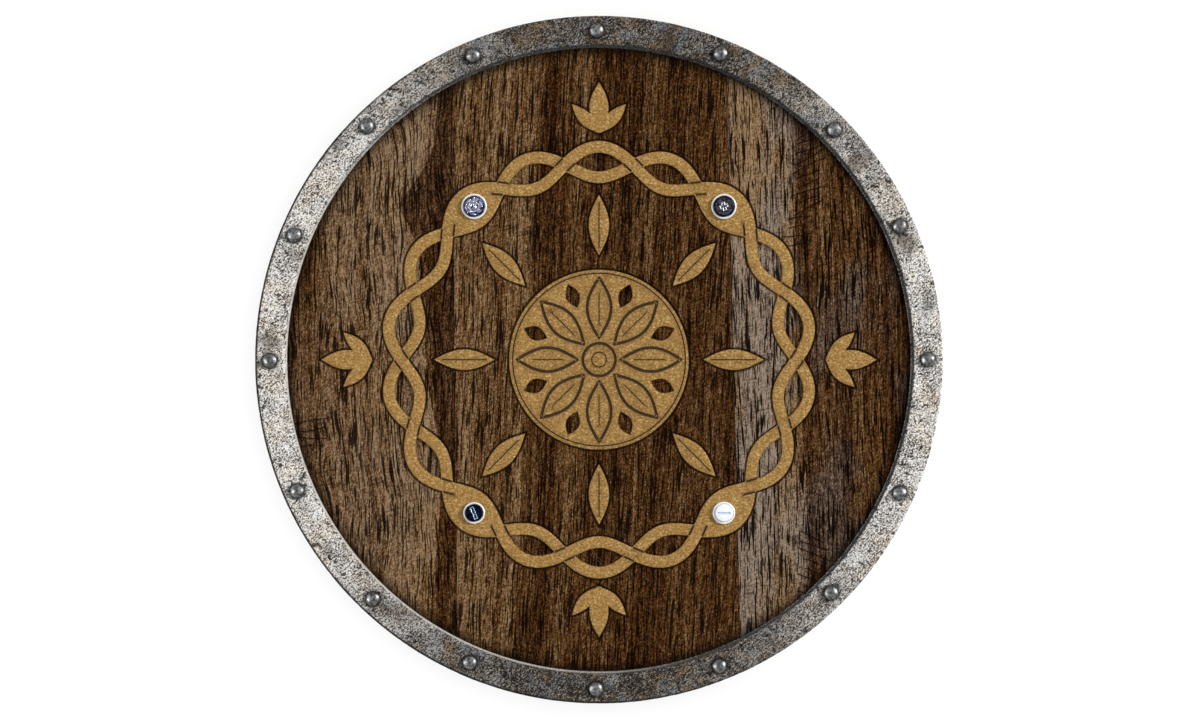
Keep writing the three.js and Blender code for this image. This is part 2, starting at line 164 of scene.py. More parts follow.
def resampled(path: np.ndarray, step: float, closed: bool = False) -> np.ndarray:
    """Walk a polyline in equal steps, keeping its corners.

    Args:
        path: corner points in order.
        step: longest distance between two neighbouring results.
        closed: whether the last corner joins the first.

    Returns:
        The denser polyline, without repeating the first point when closed.
    """
    corners = np.vstack([path, path[:1]]) if closed else path
    pieces = []
    for start, end in zip(corners[:-1], corners[1:]):
        count = max(1, math.ceil(float(np.linalg.norm(end - start)) / step))
        share = np.arange(count)[:, None] / count
        pieces.append(start + (end - start) * share)
    if not closed:
        pieces.append(corners[-1:])
    return np.vstack(pieces)


def ray_reach(outline: np.ndarray, centre: np.ndarray, angles: np.ndarray) -> np.ndarray:
    """Distance from a centre to the farthest crossing of an outline, along each angle.

    Each ray c + t d meets the edge p + s e where t = (p - c) x e / (d x e) and
    s = (p - c) x d / (d x e), with s from 0 to 1.

    Args:
        outline: closed outline, one x, y row a corner.
        centre: where the rays start.
        angles: directions of the rays.

    Returns:
        One distance per angle, 0 where the ray misses.
    """
    start = outline - centre
    edge = np.roll(outline, -1, axis=0) - outline
    ray = polar(1.0, angles)[:, None, :]
    across = ray[..., 0] * edge[:, 1] - ray[..., 1] * edge[:, 0]
    across = np.where(np.abs(across) < 1e-12, 1e-12, across)
    along = (start[:, 0] * edge[:, 1] - start[:, 1] * edge[:, 0]) / across
    share = (start[:, 0] * ray[..., 1] - start[:, 1] * ray[..., 0]) / across
    return np.where((share >= -1e-9) & (share <= 1 + 1e-9) & (along > 0), along, 0.0).max(axis=1)


def inside(points: np.ndarray, outline: np.ndarray) -> np.ndarray:
    """Even-odd test of points against a closed outline.

    Args:
        points: places to test.
        outline: corners of the outline.

    Returns:
        Whether each point lies inside.
    """
    ends = np.roll(outline, -1, axis=0)
    x, y = points[:, 0, None], points[:, 1, None]
    straddles = (outline[:, 1] > y) != (ends[:, 1] > y)
    rise = np.where(ends[:, 1] == outline[:, 1], 1.0, ends[:, 1] - outline[:, 1])
    crossing = outline[:, 0] + (y - outline[:, 1]) * (ends[:, 0] - outline[:, 0]) / rise
    return ((straddles & (x < crossing)).sum(axis=1) % 2).astype(bool)


# ---------------------------------------------------------------- meshes


@dataclass
class MeshParts:
    """Vertices, faces and a per-vertex mark, collected piece by piece."""

    vertices: list[np.ndarray] = field(default_factory=list)
    faces: list[np.ndarray] = field(default_factory=list)
    marks: list[np.ndarray] = field(default_factory=list)

    def add(self, vertices: np.ndarray, faces: np.ndarray, marks: np.ndarray | float = 0.0) -> None:
        """Add one patch.

        Args:
            vertices: rows of x, y, z.
            faces: rows of indices into this patch, three or four to a row.
            marks: what the material reads as the attribute "cut": on wood and brass 0 to 1 of painted
                shade in grooves, pockets and at plate edges, also darkening the board seams; on the plain
                metals 1 is painted shade and 2 a painted highlight.
        """
        base = sum(len(part) for part in self.vertices)
        self.vertices.append(vertices)
        self.faces.append(faces + base)
        self.marks.append(np.broadcast_to(marks, len(vertices)))

    def build(self, name: str, weld: bool = True, sharp: float = 40.0) -> bpy.types.Object:
        """Make the Blender object.

        Args:
            name: name of the object and its mesh.
            weld: joins vertices that share a place, at poles and patch borders.
            sharp: edges bent more than this many degrees stay sharp.

        Returns:
            The linked object, at the origin.
        """
        mesh = bpy.data.meshes.new(name)
        rows = [row for part in self.faces for row in part.tolist()]
        mesh.from_pydata(np.concatenate(self.vertices).tolist(), [], rows)
        cut = mesh.attributes.new("cut", "FLOAT", "POINT")
        cut.data.foreach_set("value", np.concatenate(self.marks).astype(np.float32))
        if weld:
            work = bmesh.new()
            work.from_mesh(mesh)
            bmesh.ops.remove_doubles(work, verts=work.verts, dist=1e-6)
            bmesh.ops.dissolve_degenerate(work, edges=work.edges, dist=1e-7)
            work.to_mesh(mesh)
            work.free()
        mesh.polygons.foreach_set("use_smooth", np.ones(len(mesh.polygons), dtype=bool))
        mesh.set_sharp_from_angle(angle=math.radians(sharp))
        mesh.update()
        piece = bpy.data.objects.new(name, mesh)
        bpy.context.scene.collection.objects.link(piece)
        return piece


def grid_faces(rows: int, columns: int, wrap: bool = False, wrap_rows: bool = False) -> np.ndarray:
    """Quads of a grid of vertices stored row by row.

    Args:
        rows: number of rows.
        columns: number of vertices in a row.
        wrap: joins the last column to the first.
        wrap_rows: joins the last row to the first.

    Returns:
        Rows of four indices, facing along column step x row step.
    """
    down = rows if wrap_rows else rows - 1
    across = columns if wrap else columns - 1
    i, j = np.meshgrid(np.arange(down), np.arange(across), indexing="ij")
    below = (i + 1) % rows
    beside = (j + 1) % columns
    corners = [i * columns + j, i * columns + beside, below * columns + beside, below * columns + j]
    return np.stack(corners, axis=-1).reshape(-1, 4)


def turned(profile: np.ndarray, segments: int, centre: np.ndarray | None = None) -> np.ndarray:
    """Spin a profile of radius, z rows about Z. The profile keeps the material on its left.

    Args:
        profile: radius and z of each corner.
        segments: steps round the axis.
        centre: plan place of the axis, the origin when left out.

    Returns:
        The vertices, row by row.
    """
    angles = np.arange(segments) * TURN / segments
    ring = polar(profile[:, 0, None], angles[None, :])
    height = np.broadcast_to(profile[:, 1, None, None], (*ring.shape[:2], 1))
    body = np.concatenate([ring, height], axis=-1).reshape(-1, 3)
    if centre is not None:
        body[:, :2] += centre
    return body


@dataclass
class Line:
    """A polyline of the face's plan, with the height that the surface has along it."""

    points: np.ndarray
    height: float | np.ndarray = 0.0
    mark: float | np.ndarray = 0.0
    closed: bool = True


def groove(path: np.ndarray, width: float, depth: float, closed: bool = False) -> list[Line]:
    """Lines of a groove with a narrow floor: an edge and a foot on both sides.

    Args:
        path: its middle.
        width: distance between its edges.
        depth: how far its floor lies below the surface.
        closed: whether the path closes on itself.

    Returns:
        The four lines.
    """
    ahead = np.roll(path, -1, axis=0) - np.roll(path, 1, axis=0)
    if not closed:
        ahead[0] = path[1] - path[0]
        ahead[-1] = path[-1] - path[-2]
    ahead /= np.linalg.norm(ahead, axis=1)[:, None]
    side = np.stack([ahead[:, 1], -ahead[:, 0]], axis=1) * width / 2
    floor = 0.7
    # the marks paint shade into the groove, a little at its edges and fully on its floor
    return [
        Line(path + side, 0.0, 0.25, closed),
        Line(path + side * floor, -depth, 1.0, closed),
        Line(path - side * floor, -depth, 1.0, closed),
        Line(path - side, 0.0, 0.25, closed),
    ]


@dataclass
class Relief:
    """A plate with a worked top: outline, holes, lines of known height and loose points."""

    outline: Line
    holes: list[Line] = field(default_factory=list)
    lines: list[Line] = field(default_factory=list)
    scatter: np.ndarray = field(default_factory=lambda: np.zeros((0, 2)))
    scatter_height: np.ndarray = field(default_factory=lambda: np.zeros(0))

    def triangulated(self) -> tuple[np.ndarray, np.ndarray, np.ndarray, np.ndarray]:
        """Triangulate the plan, every line kept as edges.

        Returns:
            Plan points, heights, marks, and triangles facing up.
        """
        lines = [self.outline, *self.holes, *self.lines]
        coords = np.vstack([line.points for line in lines] + [self.scatter]) / MM
        heights = np.concatenate([np.broadcast_to(line.height, len(line.points)) for line in lines]
                                 + [self.scatter_height])
        marks = np.concatenate([np.broadcast_to(line.mark, len(line.points)) for line in lines]
                               + [np.zeros(len(self.scatter))])
        edges: list[tuple[int, int]] = []
        regions: list[list[int]] = []
        start = 0
        for number, line in enumerate(lines):
            index = list(range(start, start + len(line.points)))
            start += len(index)
            if number <= len(self.holes):
                regions.append(index)
            else:
                following = index[1:] + index[:1] if line.closed else index[1:]
                edges.extend(zip(index, following))
        found = delaunay_2d_cdt([Vector(place) for place in coords.tolist()], edges, regions, 1, 1e-5)
        places, _, triangles, sources, _, owners = found
        plan = np.array([tuple(place) for place in places])
        height = np.array([min((heights[k] for k in source), default=np.nan) for source in sources])
        mark = np.array([max((marks[k] for k in source), default=np.nan) for source in sources])
        for lost in np.flatnonzero(np.isnan(height)):
            height[lost], mark[lost] = self._nearest(lines, plan[lost] * MM)
        kept = [row for row, owner in zip(triangles, owners) if 0 in owner and max(owner) == 0]
        faces = np.array(kept)
        a, b, c = (plan[faces[:, k]] for k in range(3))
        ab, ac = b - a, c - a
        backward = ab[:, 0] * ac[:, 1] - ab[:, 1] * ac[:, 0] < 0
        faces[backward] = faces[backward][:, ::-1]
        return plan * MM, height, mark, faces

    @staticmethod
    def _nearest(lines: list[Line], place: np.ndarray) -> tuple[float, float]:
        """Height and mark of the level line that passes closest to a place.

        Args:
            lines: lines to choose from.
            place: a plan place.

        Returns:
            Height and mark.
        """
        best = (math.inf, 0.0, 0.0)
        for line in lines:
            if np.ndim(line.height):
                continue
            ends = np.roll(line.points, -1, axis=0)
            edge = ends - line.points
            length = np.maximum((edge ** 2).sum(axis=1), 1e-18)
            share = np.clip(((place - line.points) * edge).sum(axis=1) / length, 0, 1)
            gap = np.linalg.norm(line.points + edge * share[:, None] - place, axis=1).min()
            best = min(best, (float(gap), line.height, line.mark))
        return best[1], best[2]

    def solid(self, top: float, foot: float, wave: float, seed: int) -> MeshParts:
        """Close the plate: worked top, upright sides and a flat underside.

        Args:
            top: height of the plate's face.
            foot: height of its underside.
            wave: how deep the slow unevenness of the face goes.
            seed: picks the unevenness.

        Returns:
            The closed plate.
        """
        plan, height, mark, faces = self.triangulated()
        used, flat = np.unique(faces, return_inverse=True)
        faces = flat.reshape(faces.shape)
        plan, height, mark = plan[used], height[used], mark[used]
        body = np.column_stack([plan, top + height])
        body[:, 2] += wave * (value_noise(body, 34 * MM, seed) - 1) / 2
        parts = MeshParts()
        parts.add(body, faces, mark)
        sides = np.vstack([faces[:, [0, 1]], faces[:, [1, 2]], faces[:, [2, 0]]])
        code = sides[:, 0] * len(plan) + sides[:, 1]
        mirror = sides[:, 1] * len(plan) + sides[:, 0]
        border = sides[~np.isin(code, mirror)]
        low = np.column_stack([plan, np.full(len(plan), foot)])
        walls = np.column_stack([border[:, 1], border[:, 0],
                                 border[:, 0] + len(plan), border[:, 1] + len(plan)])
        parts.add(np.vstack([body, low]), walls, np.concatenate([mark, mark * 0]))
        rim, local = np.unique(border, return_inverse=True)
        loop = [tuple(row) for row in local.reshape(border.shape).tolist()]
        found = delaunay_2d_cdt([Vector(row) for row in (plan[rim] / MM).tolist()], loop, [], 1, 1e-5)
        under = np.array([tuple(place) for place in found[0]]) * MM
        closing = np.array(found[2])
        centre = under[closing].mean(axis=1)
        keep = inside(centre, self.outline.points)
        for hole in self.holes:
            keep &= ~inside(centre, hole.points)
        parts.add(np.column_stack([under, np.full(len(under), foot)]), closing[keep][:, ::-1])
        return parts


def scattered(reach: float, step: float, lines: list[Line], clear: float, seed: int) -> np.ndarray:
    """A loosely shaken grid of points that keeps clear of the given lines.

    Args:
        reach: half size of the grid.
        step: its spacing.
        lines: lines to keep clear of.
        clear: how far to stay from them.
        seed: picks the shake.

    Returns:
        The points that are left.
    """
    axis = np.arange(-reach, reach + step, step)
    x, y = np.meshgrid(axis, axis)
    points = np.column_stack([x.ravel(), y.ravel()])
    cells = np.column_stack([np.rint(points / step), np.zeros(len(points))]).astype(np.int64)
    shake = np.column_stack([hashed(cells, seed), hashed(cells, seed + 1)])
    points = points + shake * step * 0.25
    for line in lines:
        spots = resampled(line.points, clear, line.closed)
        low, high = spots.min(axis=0) - clear, spots.max(axis=0) + clear
        near = np.flatnonzero(((points > low) & (points < high)).all(axis=1))
        for some in np.array_split(near, max(1, len(near) // 400)):
            gaps = np.linalg.norm(points[some][:, None, :] - spots[None, :, :], axis=2)
            points[some[gaps.min(axis=1) < clear]] = np.nan
    return points[~np.isnan(points[:, 0])]


# ---------------------------------------------------------------- outlines of the ornament


def leaf_outline(base: np.ndarray, angle: float, length: float, half: float,
                 grow: float = 0.0, step: float = 1.2 * MM) -> np.ndarray:
    """A leaf pointed at both ends whose sides are half sine waves.

    Args:
        base: plan place of its foot.
        angle: direction of its tip.
        length: distance from foot to tip.
        half: half its greatest width.
        grow: how far outside the leaf the outline runs.
        step: spacing of the corners.

    Returns:
        The corners.
    """
    count = max(8, int(length / step))
    share = np.arange(count) / count
    reach = 2 * grow
    forward = np.concatenate([share, 1 - share]) * (length + 2 * reach) - reach
    rise = np.sin(np.pi * np.concatenate([share, 1 - share])) * (half + grow)
    side = np.concatenate([-np.ones(count), np.ones(count)]) * rise
    along = np.array([math.cos(angle), math.sin(angle)])
    across = np.array([-along[1], along[0]])
    return base + forward[:, None] * along + side[:, None] * across


def ring_outline(radius: float, step: float = 1.3 * MM) -> np.ndarray:
    """A circle as a closed outline."""
    count = max(12, int(TURN * radius / step))
    return polar(radius, np.arange(count) * TURN / count)


def strand_half(phase: np.ndarray) -> np.ndarray:
    """Half width of a strand measured along the radius, where it runs at a slant."""
    slope = BRAID_SWING * BRAID_CROSSINGS * np.cos(phase) / (2 * BRAID_RADIUS)
    return BRAID_HALF_WIDTH * np.hypot(1.0, slope)


def braid_edge(side: int, grow: float = 0.0, steps: int = 56) -> np.ndarray:
    """Outer (1) or inner (-1) edge of the braided ring.

    Args:
        side: 1 or -1.
        grow: how far beyond the strands the line runs.
        steps: corners between two crossings.

    Returns:
        The corners.
    """
    angle = np.arange(BRAID_CROSSINGS * steps) * TURN / (BRAID_CROSSINGS * steps)
    phase = angle * BRAID_CROSSINGS / 2
    swing = BRAID_SWING * np.abs(np.sin(phase))
    return polar(BRAID_RADIUS + side * (swing + strand_half(phase) + grow), angle)


def braid_eye(number: int, grow: float = 0.0, steps: int = 26) -> np.ndarray:
    """The gap between the strands after a crossing.

    Args:
        number: the crossing, counted round from +X.
        grow: how far outside the gap the outline runs.
        steps: steps along each side.

    Returns:
        The corners.
    """
    start, end = 0.152, 0.848
    share = start + (end - start) * np.arange(steps + 1) / steps
    phase = np.pi * share
    reach = np.maximum(BRAID_SWING * np.sin(phase) - strand_half(phase), 0) + grow
    bulge = 1 + 2 * grow / (end - start) / (TURN * BRAID_RADIUS / BRAID_CROSSINGS)
    angle = (number + 0.5 + (share - 0.5) * bulge) * TURN / BRAID_CROSSINGS
    outer = polar(BRAID_RADIUS + reach, angle)
    inner = polar(BRAID_RADIUS - reach, angle)[1:-1]
    return np.vstack([outer, inner[::-1]])


def palmette_outline(angle: float, grow: float = 0.0, count: int = 300) -> np.ndarray:
    """Three leaves and a knot at their foot, as one outline seen from the knot's middle.

    Args:
        angle: direction of its middle leaf.
        grow: how far outside the palmette the outline runs.
        count: number of corners.

    Returns:
        The corners.
    """
    base = polar(PALMETTE_BASE, angle)
    centre = polar(PALMETTE_BASE + PALMETTE_KNOT, angle)
    rays = angle + np.arange(count) * TURN / count
    reach = np.full(count, PALMETTE_KNOT + grow)
    for length, half, lean in PALMETTE_LOBES:
        lobe = leaf_outline(base, angle + lean, length, half, grow, 0.6 * MM)
        reach = np.maximum(reach, ray_reach(lobe, centre, rays))
    return centre + polar(reach, rays)


Edge = Callable[[float], np.ndarray]


@dataclass(frozen=True)
class Motif:
    """One plate of the ornament: its CAD node, and its edges as functions of their growth."""

    node: str
    edges: tuple[Edge, ...]


def plan_centre(low: tuple, high: tuple) -> np.ndarray:
    """Middle of a box, seen from above."""
    return (np.array(low) + np.array(high))[:2] / 2


def bolt_places() -> list[tuple[str, np.ndarray]]:
    """Name and plan place of each bolt, read from the frame.

    Returns:
        A name and a place each.
    """
    places = []
    for name in ("upper_left", "upper_right", "lower_left", "lower_right"):
        low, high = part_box(f"cup_washer_{name}")
        places.append((name, plan_centre(low, high)))
    return places


def bolt_eyes() -> set[int]:
    """Numbers of the braid's eyes that the bolts close."""
    angles = [math.atan2(place[1], place[0]) % TURN for _, place in bolt_places()]
    return {int(angle * BRAID_CROSSINGS / TURN) for angle in angles}


# ---------------------------------------------------------------- shader graphs


Socket = bpy.types.NodeSocket
Input = Socket | float | tuple
Inputs = dict[str | int, Input]
Colour = tuple[float, float, float, float]
Tones = tuple[tuple[float, float], ...]


def srgb(red: float, green: float, blue: float) -> Colour:
    """Colour from 0-255 display values to the linear values that shaders use.

    Args:
        red: red part.
        green: green part.
        blue: blue part.

    Returns:
        The colour with full alpha.
    """
    share = np.array([red, green, blue]) / 255
    linear = np.where(share <= 0.04045, share / 12.92, ((share + 0.055) / 1.055) ** 2.4)
    return (*(float(value) for value in linear), 1.0)


class Graph:
    """Adds and links nodes in one node tree."""

    def __init__(self, tree: bpy.types.NodeTree) -> None:
        """Work in one tree."""
        self.tree = tree

    def fill(self, node: bpy.types.Node, inputs: Inputs) -> None:
        """Link or set some of a node's inputs.

        Args:
            node: the node.
            inputs: socket name or number to a value or to another node's output.
        """
        for key, value in inputs.items():
            if isinstance(value, Socket):
                self.tree.links.new(value, node.inputs[key])
            else:
                node.inputs[key].default_value = value

    def add(self, kind: str, settings: dict | None = None,
            inputs: Inputs | None = None) -> bpy.types.Node:
        """Add a node.

        Args:
            kind: type name of the node.
            settings: attributes to set on it.
            inputs: what goes into it, as in fill.

        Returns:
            The node.
        """
        node = self.tree.nodes.new(kind)
        for name, value in (settings or {}).items():
            setattr(node, name, value)
        self.fill(node, inputs or {})
        return node

    def math(self, operation: str, a: Input, b: Input = 0.0, clamp: bool = False) -> Socket:
        """One arithmetic step on values."""
        settings = {"operation": operation, "use_clamp": clamp}
        return self.add("ShaderNodeMath", settings, {0: a, 1: b}).outputs[0]

    def plus(self, a: Input, b: Input) -> Socket:
        """Sum of two values."""
        return self.math("ADD", a, b)

    def minus(self, a: Input, b: Input) -> Socket:
        """Difference of two values."""
        return self.math("SUBTRACT", a, b)

    def times(self, a: Input, b: Input, clamp: bool = False) -> Socket:
        """Product of two values, held between 0 and 1 on request."""
        return self.math("MULTIPLY", a, b, clamp)

    def vector(self, operation: str, inputs: Inputs) -> Socket:
        """One arithmetic step on vectors."""
        return self.add("ShaderNodeVectorMath", {"operation": operation}, inputs).outputs[0]

    def scaled(self, vector: Socket, scale: tuple, offset: tuple = (0.0, 0.0, 0.0)) -> Socket:
        """A vector multiplied and shifted."""
        return self.vector("MULTIPLY_ADD", {0: vector, 1: scale, 2: offset})

    def rotated(self, vector: Socket, angle: Input) -> Socket:
        """A vector turned about Z."""
        inputs = {"Vector": vector, "Angle": angle}
        return self.add("ShaderNodeVectorRotate", {"rotation_type": "Z_AXIS"}, inputs).outputs[0]

    def parts(self, vector: Socket) -> bpy.types.NodeOutputs:
        """The x, y and z of a vector."""
        return self.add("ShaderNodeSeparateXYZ", {}, {0: vector}).outputs

    def joined(self, x: Input, y: Input, z: Input = 0.0) -> Socket:
        """A vector of x, y and z."""
        return self.add("ShaderNodeCombineXYZ", {}, {0: x, 1: y, 2: z}).outputs[0]

    def place(self) -> Socket:
        """Object coordinates, which are the shield's own in metres."""
        return self.add("ShaderNodeTexCoord").outputs["Object"]

    def attribute(self, name: str) -> Socket:
        """A value that the mesh holds at its vertices."""
        return self.add("ShaderNodeAttribute", {"attribute_name": name}).outputs["Fac"]

    def noise(self, vector: Socket, scale: float, detail: float = 2.0, roughness: float = 0.5) -> Socket:
        """Noise value from about 0 to 1."""
        inputs = {"Vector": vector, "Scale": scale, "Detail": detail, "Roughness": roughness}
        return self.add("ShaderNodeTexNoise", {}, inputs).outputs[0]

    def level(self, value: Socket, low: Input, high: Input, to_low: float = 0.0, to_high: float = 1.0,
              kind: str = "LINEAR") -> Socket:
        """A value's place between two limits, by default from 0 to 1.

        Args:
            value: the value.
            low: limit that gives to_low.
            high: limit that gives to_high.
            to_low: result at and below the low limit.
            to_high: result at and above the high limit.
            kind: form of the rise between them.

        Returns:
            The result's socket.
        """
        inputs = {"Value": value, "From Min": low, "From Max": high, "To Min": to_low, "To Max": to_high}
        return self.add("ShaderNodeMapRange", {"interpolation_type": kind}, inputs).outputs[0]

    def span(self, value: Socket, low: float, high: float, to_low: float = 0.0,
             to_high: float = 1.0) -> Socket:
        """A smooth step of a value between two limits."""
        return self.level(value, low, high, to_low, to_high, "SMOOTHSTEP")

    def mix(self, share: Input, a: Input, b: Input, blend: str = "MIX") -> Socket:
        """Blend two colours."""
        settings = {"data_type": "RGBA", "blend_type": blend}
        return self.add("ShaderNodeMix", settings, {0: share, 6: a, 7: b}).outputs[2]

    def stain(self, colour: Socket, mask: Socket, strength: float, tint: Input,
              blend: str = "MIX") -> Socket:
        """Lay a tint over a colour through a mask."""
        return self.mix(self.times(mask, strength), colour, tint, blend)

    def ramp(self, value: Socket, stops: tuple) -> Socket:
        """Colours by value.

        Args:
            value: the value, from 0 to 1.
            stops: a position and a colour each.

        Returns:
            The colour's socket.
        """
        node = self.add("ShaderNodeValToRGB", {}, {0: value})
        marks = node.color_ramp.elements
        for _ in stops[2:]:
            marks.new(0.5)
        for mark, (position, colour) in zip(marks, stops):
            mark.position = position
            mark.color = colour
        return node.outputs[0]

    def curve(self, value: Socket, points: tuple) -> Socket:
        """A polyline of value by value.

        Args:
            value: the value, from 0 to 1.
            points: corners of the polyline, both coordinates from 0 to 1.

        Returns:
            The result's socket.
        """
        node = self.add("ShaderNodeFloatCurve", {}, {1: value})
        line = node.mapping.curves[0]
        while len(line.points) < len(points):
            line.points.new(0.5, 0.5)
        for point, place in zip(line.points, points):
            point.location = place
            point.handle_type = "VECTOR"
        node.mapping.update()
        return node.outputs[0]

    def bumped(self, height: Socket, strength: float) -> Socket:
        """A normal from a height in millimetres."""
        inputs = {"Height": height, "Strength": strength, "Distance": MM}
        return self.add("ShaderNodeBump", {}, inputs).outputs["Normal"]

    def group(self, tree: bpy.types.NodeTree, inputs: Inputs) -> bpy.types.NodeOutputs:
        """What a node group gives for some inputs.

        Args:
            tree: the group.
            inputs: what goes into it, as in fill.

        Returns:
            Its outputs.
        """
        node = self.add("ShaderNodeGroup", {"node_tree": tree})
        self.fill(node, inputs)
        return node.outputs


class GroupMaker:
    """A node group with named inputs and outputs."""

    def __init__(self, name: str, inputs: tuple[str, ...], outputs: tuple[str, ...]) -> None:
        """Make the group.

        Args:
            name: its name.
            inputs: labels of its inputs, the vector first and values after it.
            outputs: labels of its values.
        """
        self.tree = bpy.data.node_groups.new(name, "ShaderNodeTree")
        for direction, labels in (("INPUT", inputs), ("OUTPUT", outputs)):
            for label in labels:
                kind = "NodeSocketVector" if label == "Vector" else "NodeSocketFloat"
                self.tree.interface.new_socket(label, in_out=direction, socket_type=kind)
        self.graph = Graph(self.tree)
        self.source = self.graph.add("NodeGroupInput").outputs
        self.target = self.graph.add("NodeGroupOutput").inputs

    def give(self, label: str, socket: Socket) -> None:
        """Connect a result to one of the group's outputs."""
        self.tree.links.new(socket, self.target[label])


def grain_group() -> bpy.types.NodeTree:
    """Long grain of open-pored wood, in millimetres, running along Y.

    Returns:
        The group.
    """
    maker = GroupMaker("Long grain", ("Vector", "Lean", "Wave", "Seed"),
                       ("Across", "Bands", "Streaks", "Fibres", "Pores", "Sanding"))
    g, source = maker.graph, maker.source
    millimetres = g.scaled(source["Vector"], (1000, 1000, 1000))
    x, y, z = g.parts(millimetres)
    slow = g.scaled(source["Vector"], (16, 7, 7))
    slow = g.vector("ADD", {0: slow, 1: g.joined(source["Seed"], source["Seed"])})
    swing = g.minus(g.noise(slow, 1.0, 2.0), 0.5)
    small = g.scaled(source["Vector"], (70, 26, 26))
    wobble = g.minus(g.noise(small, 1.0, 1.0), 0.5)
    across = g.plus(x, g.times(y, source["Lean"]))
    maker.give("Across", across)
    swing = g.plus(g.times(swing, source["Wave"]), g.times(wobble, 2.0))
    bent = g.plus(across, swing)
    seeded = g.plus(bent, g.times(source["Seed"], 37.0))

    def stretched(wide: float, long: float) -> Socket:
        """The bent place, scaled across and along the grain."""
        return g.joined(g.times(seeded, wide), g.times(y, long), g.times(z, wide))

    maker.give("Bands", g.noise(stretched(0.085, 0.0022), 1.0, 3.0, 0.55))
    maker.give("Streaks", g.noise(stretched(0.34, 0.0065), 1.0, 3.0, 0.6))
    maker.give("Fibres", g.noise(stretched(1.0, 0.085), 1.0, 2.0, 0.7))
    pore = g.noise(stretched(0.5, 0.024), 1.0, 1.0, 0.5)
    crowd = g.noise(stretched(0.11, 0.012), 1.0, 1.0, 0.5)
    edge = g.span(crowd, 0.35, 0.65, 0.62, 0.545)
    pores = g.times(g.minus(pore, edge), 30.0, clamp=True)
    for cell, length, reach in ((0.40, 0.032, 0.27), (0.58, 0.050, 0.25), (0.80, 0.085, 0.23)):
        cells = {"Vector": stretched(cell, length), "Scale": 1.0, "Randomness": 1.0}
        dash = g.add("ShaderNodeTexVoronoi", {"feature": "F1"}, cells).outputs["Distance"]
        dash = g.times(g.minus(reach, dash), 22.0, clamp=True)
        pores = g.math("MAXIMUM", pores, dash)
    maker.give("Pores", pores)
    hatch = g.rotated(millimetres, 0.62)
    maker.give("Sanding", g.noise(g.scaled(hatch, (0.95, 0.5, 0.95)), 1.0, 2.0, 0.75))
    return maker.tree


def scratch_group() -> bpy.types.NodeTree:
    """Fine straight scratches in one direction.

    Returns:
        The group.
    """
    maker = GroupMaker("Scratches", ("Vector", "Turn", "Fineness", "Threshold"), ("Mask",))
    g, source = maker.graph, maker.source
    along = g.rotated(source["Vector"], source["Turn"])
    place = g.vector("SCALE", {0: g.scaled(along, (1.0, 22.0, 1.0)), "Scale": source["Fineness"]})
    bend = g.joined(0.0, g.times(g.noise(along, 14.0, 1.0), 3.0))
    lines = g.noise(g.vector("ADD", {0: place, 1: bend}), 1.0, 0.0)
    mask = g.level(lines, source["Threshold"], g.plus(source["Threshold"], 0.035))
    maker.give("Mask", g.times(mask, g.span(g.noise(along, 22.0, 1.0), 0.45, 0.6)))
    return maker.tree


def radial_group() -> bpy.types.NodeTree:
    """Distance from the shield's axis and direction round it.

    Returns:
        The group.
    """
    maker = GroupMaker("Round the axis", ("Vector",), ("Radius", "Sideways", "Slant", "East", "North"))
    g, source = maker.graph, maker.source
    flat = g.scaled(source["Vector"], (1000, 1000, 0))
    length = g.add("ShaderNodeVectorMath", {"operation": "LENGTH"}, {0: flat}).outputs["Value"]
    maker.give("Radius", length)
    east, north, _ = g.parts(g.vector("NORMALIZE", {0: flat}))
    maker.give("Sideways", g.times(east, east))
    maker.give("Slant", g.times(east, north))
    maker.give("East", east)
    maker.give("North", north)
    return maker.tree


def grit_group() -> bpy.types.NodeTree:
    """Coarse granular skin: grains, pits and slow mottling.

    Returns:
        The group.
    """
    maker = GroupMaker("Grit", ("Vector", "Grain"), ("Grains", "Pits", "Mottle"))
    g, source = maker.graph, maker.source
    place = g.vector("SCALE", {0: source["Vector"], "Scale": source["Grain"]})
    maker.give("Grains", g.noise(place, 1.0, 3.0, 0.65))
    shifted = g.scaled(place, (0.62, 0.62, 0.62), (7.3, 2.1, 4.4))
    maker.give("Pits", g.span(g.noise(shifted, 1.0, 1.0), 0.65, 0.70))
    maker.give("Mottle", g.noise(place, 0.075, 4.0, 0.6))
    return maker.tree


@dataclass
class Groups:
    """The node groups that the materials share."""

    grain: bpy.types.NodeTree
    scratch: bpy.types.NodeTree
    radial: bpy.types.NodeTree
    grit: bpy.types.NodeTree


# ---------------------------------------------------------------- materials


@dataclass(frozen=True)
class WoodFinish:
    """One walnut board: tones by distance across it, and how its grain runs."""

    name: str
    lean: float
    wave: float
    seed: float
    tones: Tones
    grey: float
    pore: float
    band: float
    streak: float


TONE_SPAN = 320.0  # the tone stops run from minus this to plus this, in millimetres across
RING_INSIDE = RING_INNER_RADIUS / MM  # the shaders work in millimetres too
RING_OUTSIDE = SHIELD_RADIUS / MM

WALNUT_COLOURS = (
    (0.0, srgb(16, 3, 0)),
    (0.15, srgb(34, 12, 0)),
    (0.3, srgb(54, 28, 8)),
    (0.5, srgb(80, 50, 22)),
    (0.7, srgb(106, 75, 42)),
    (0.85, srgb(128, 98, 65)),
    (1.0, srgb(156, 129, 98)),
)

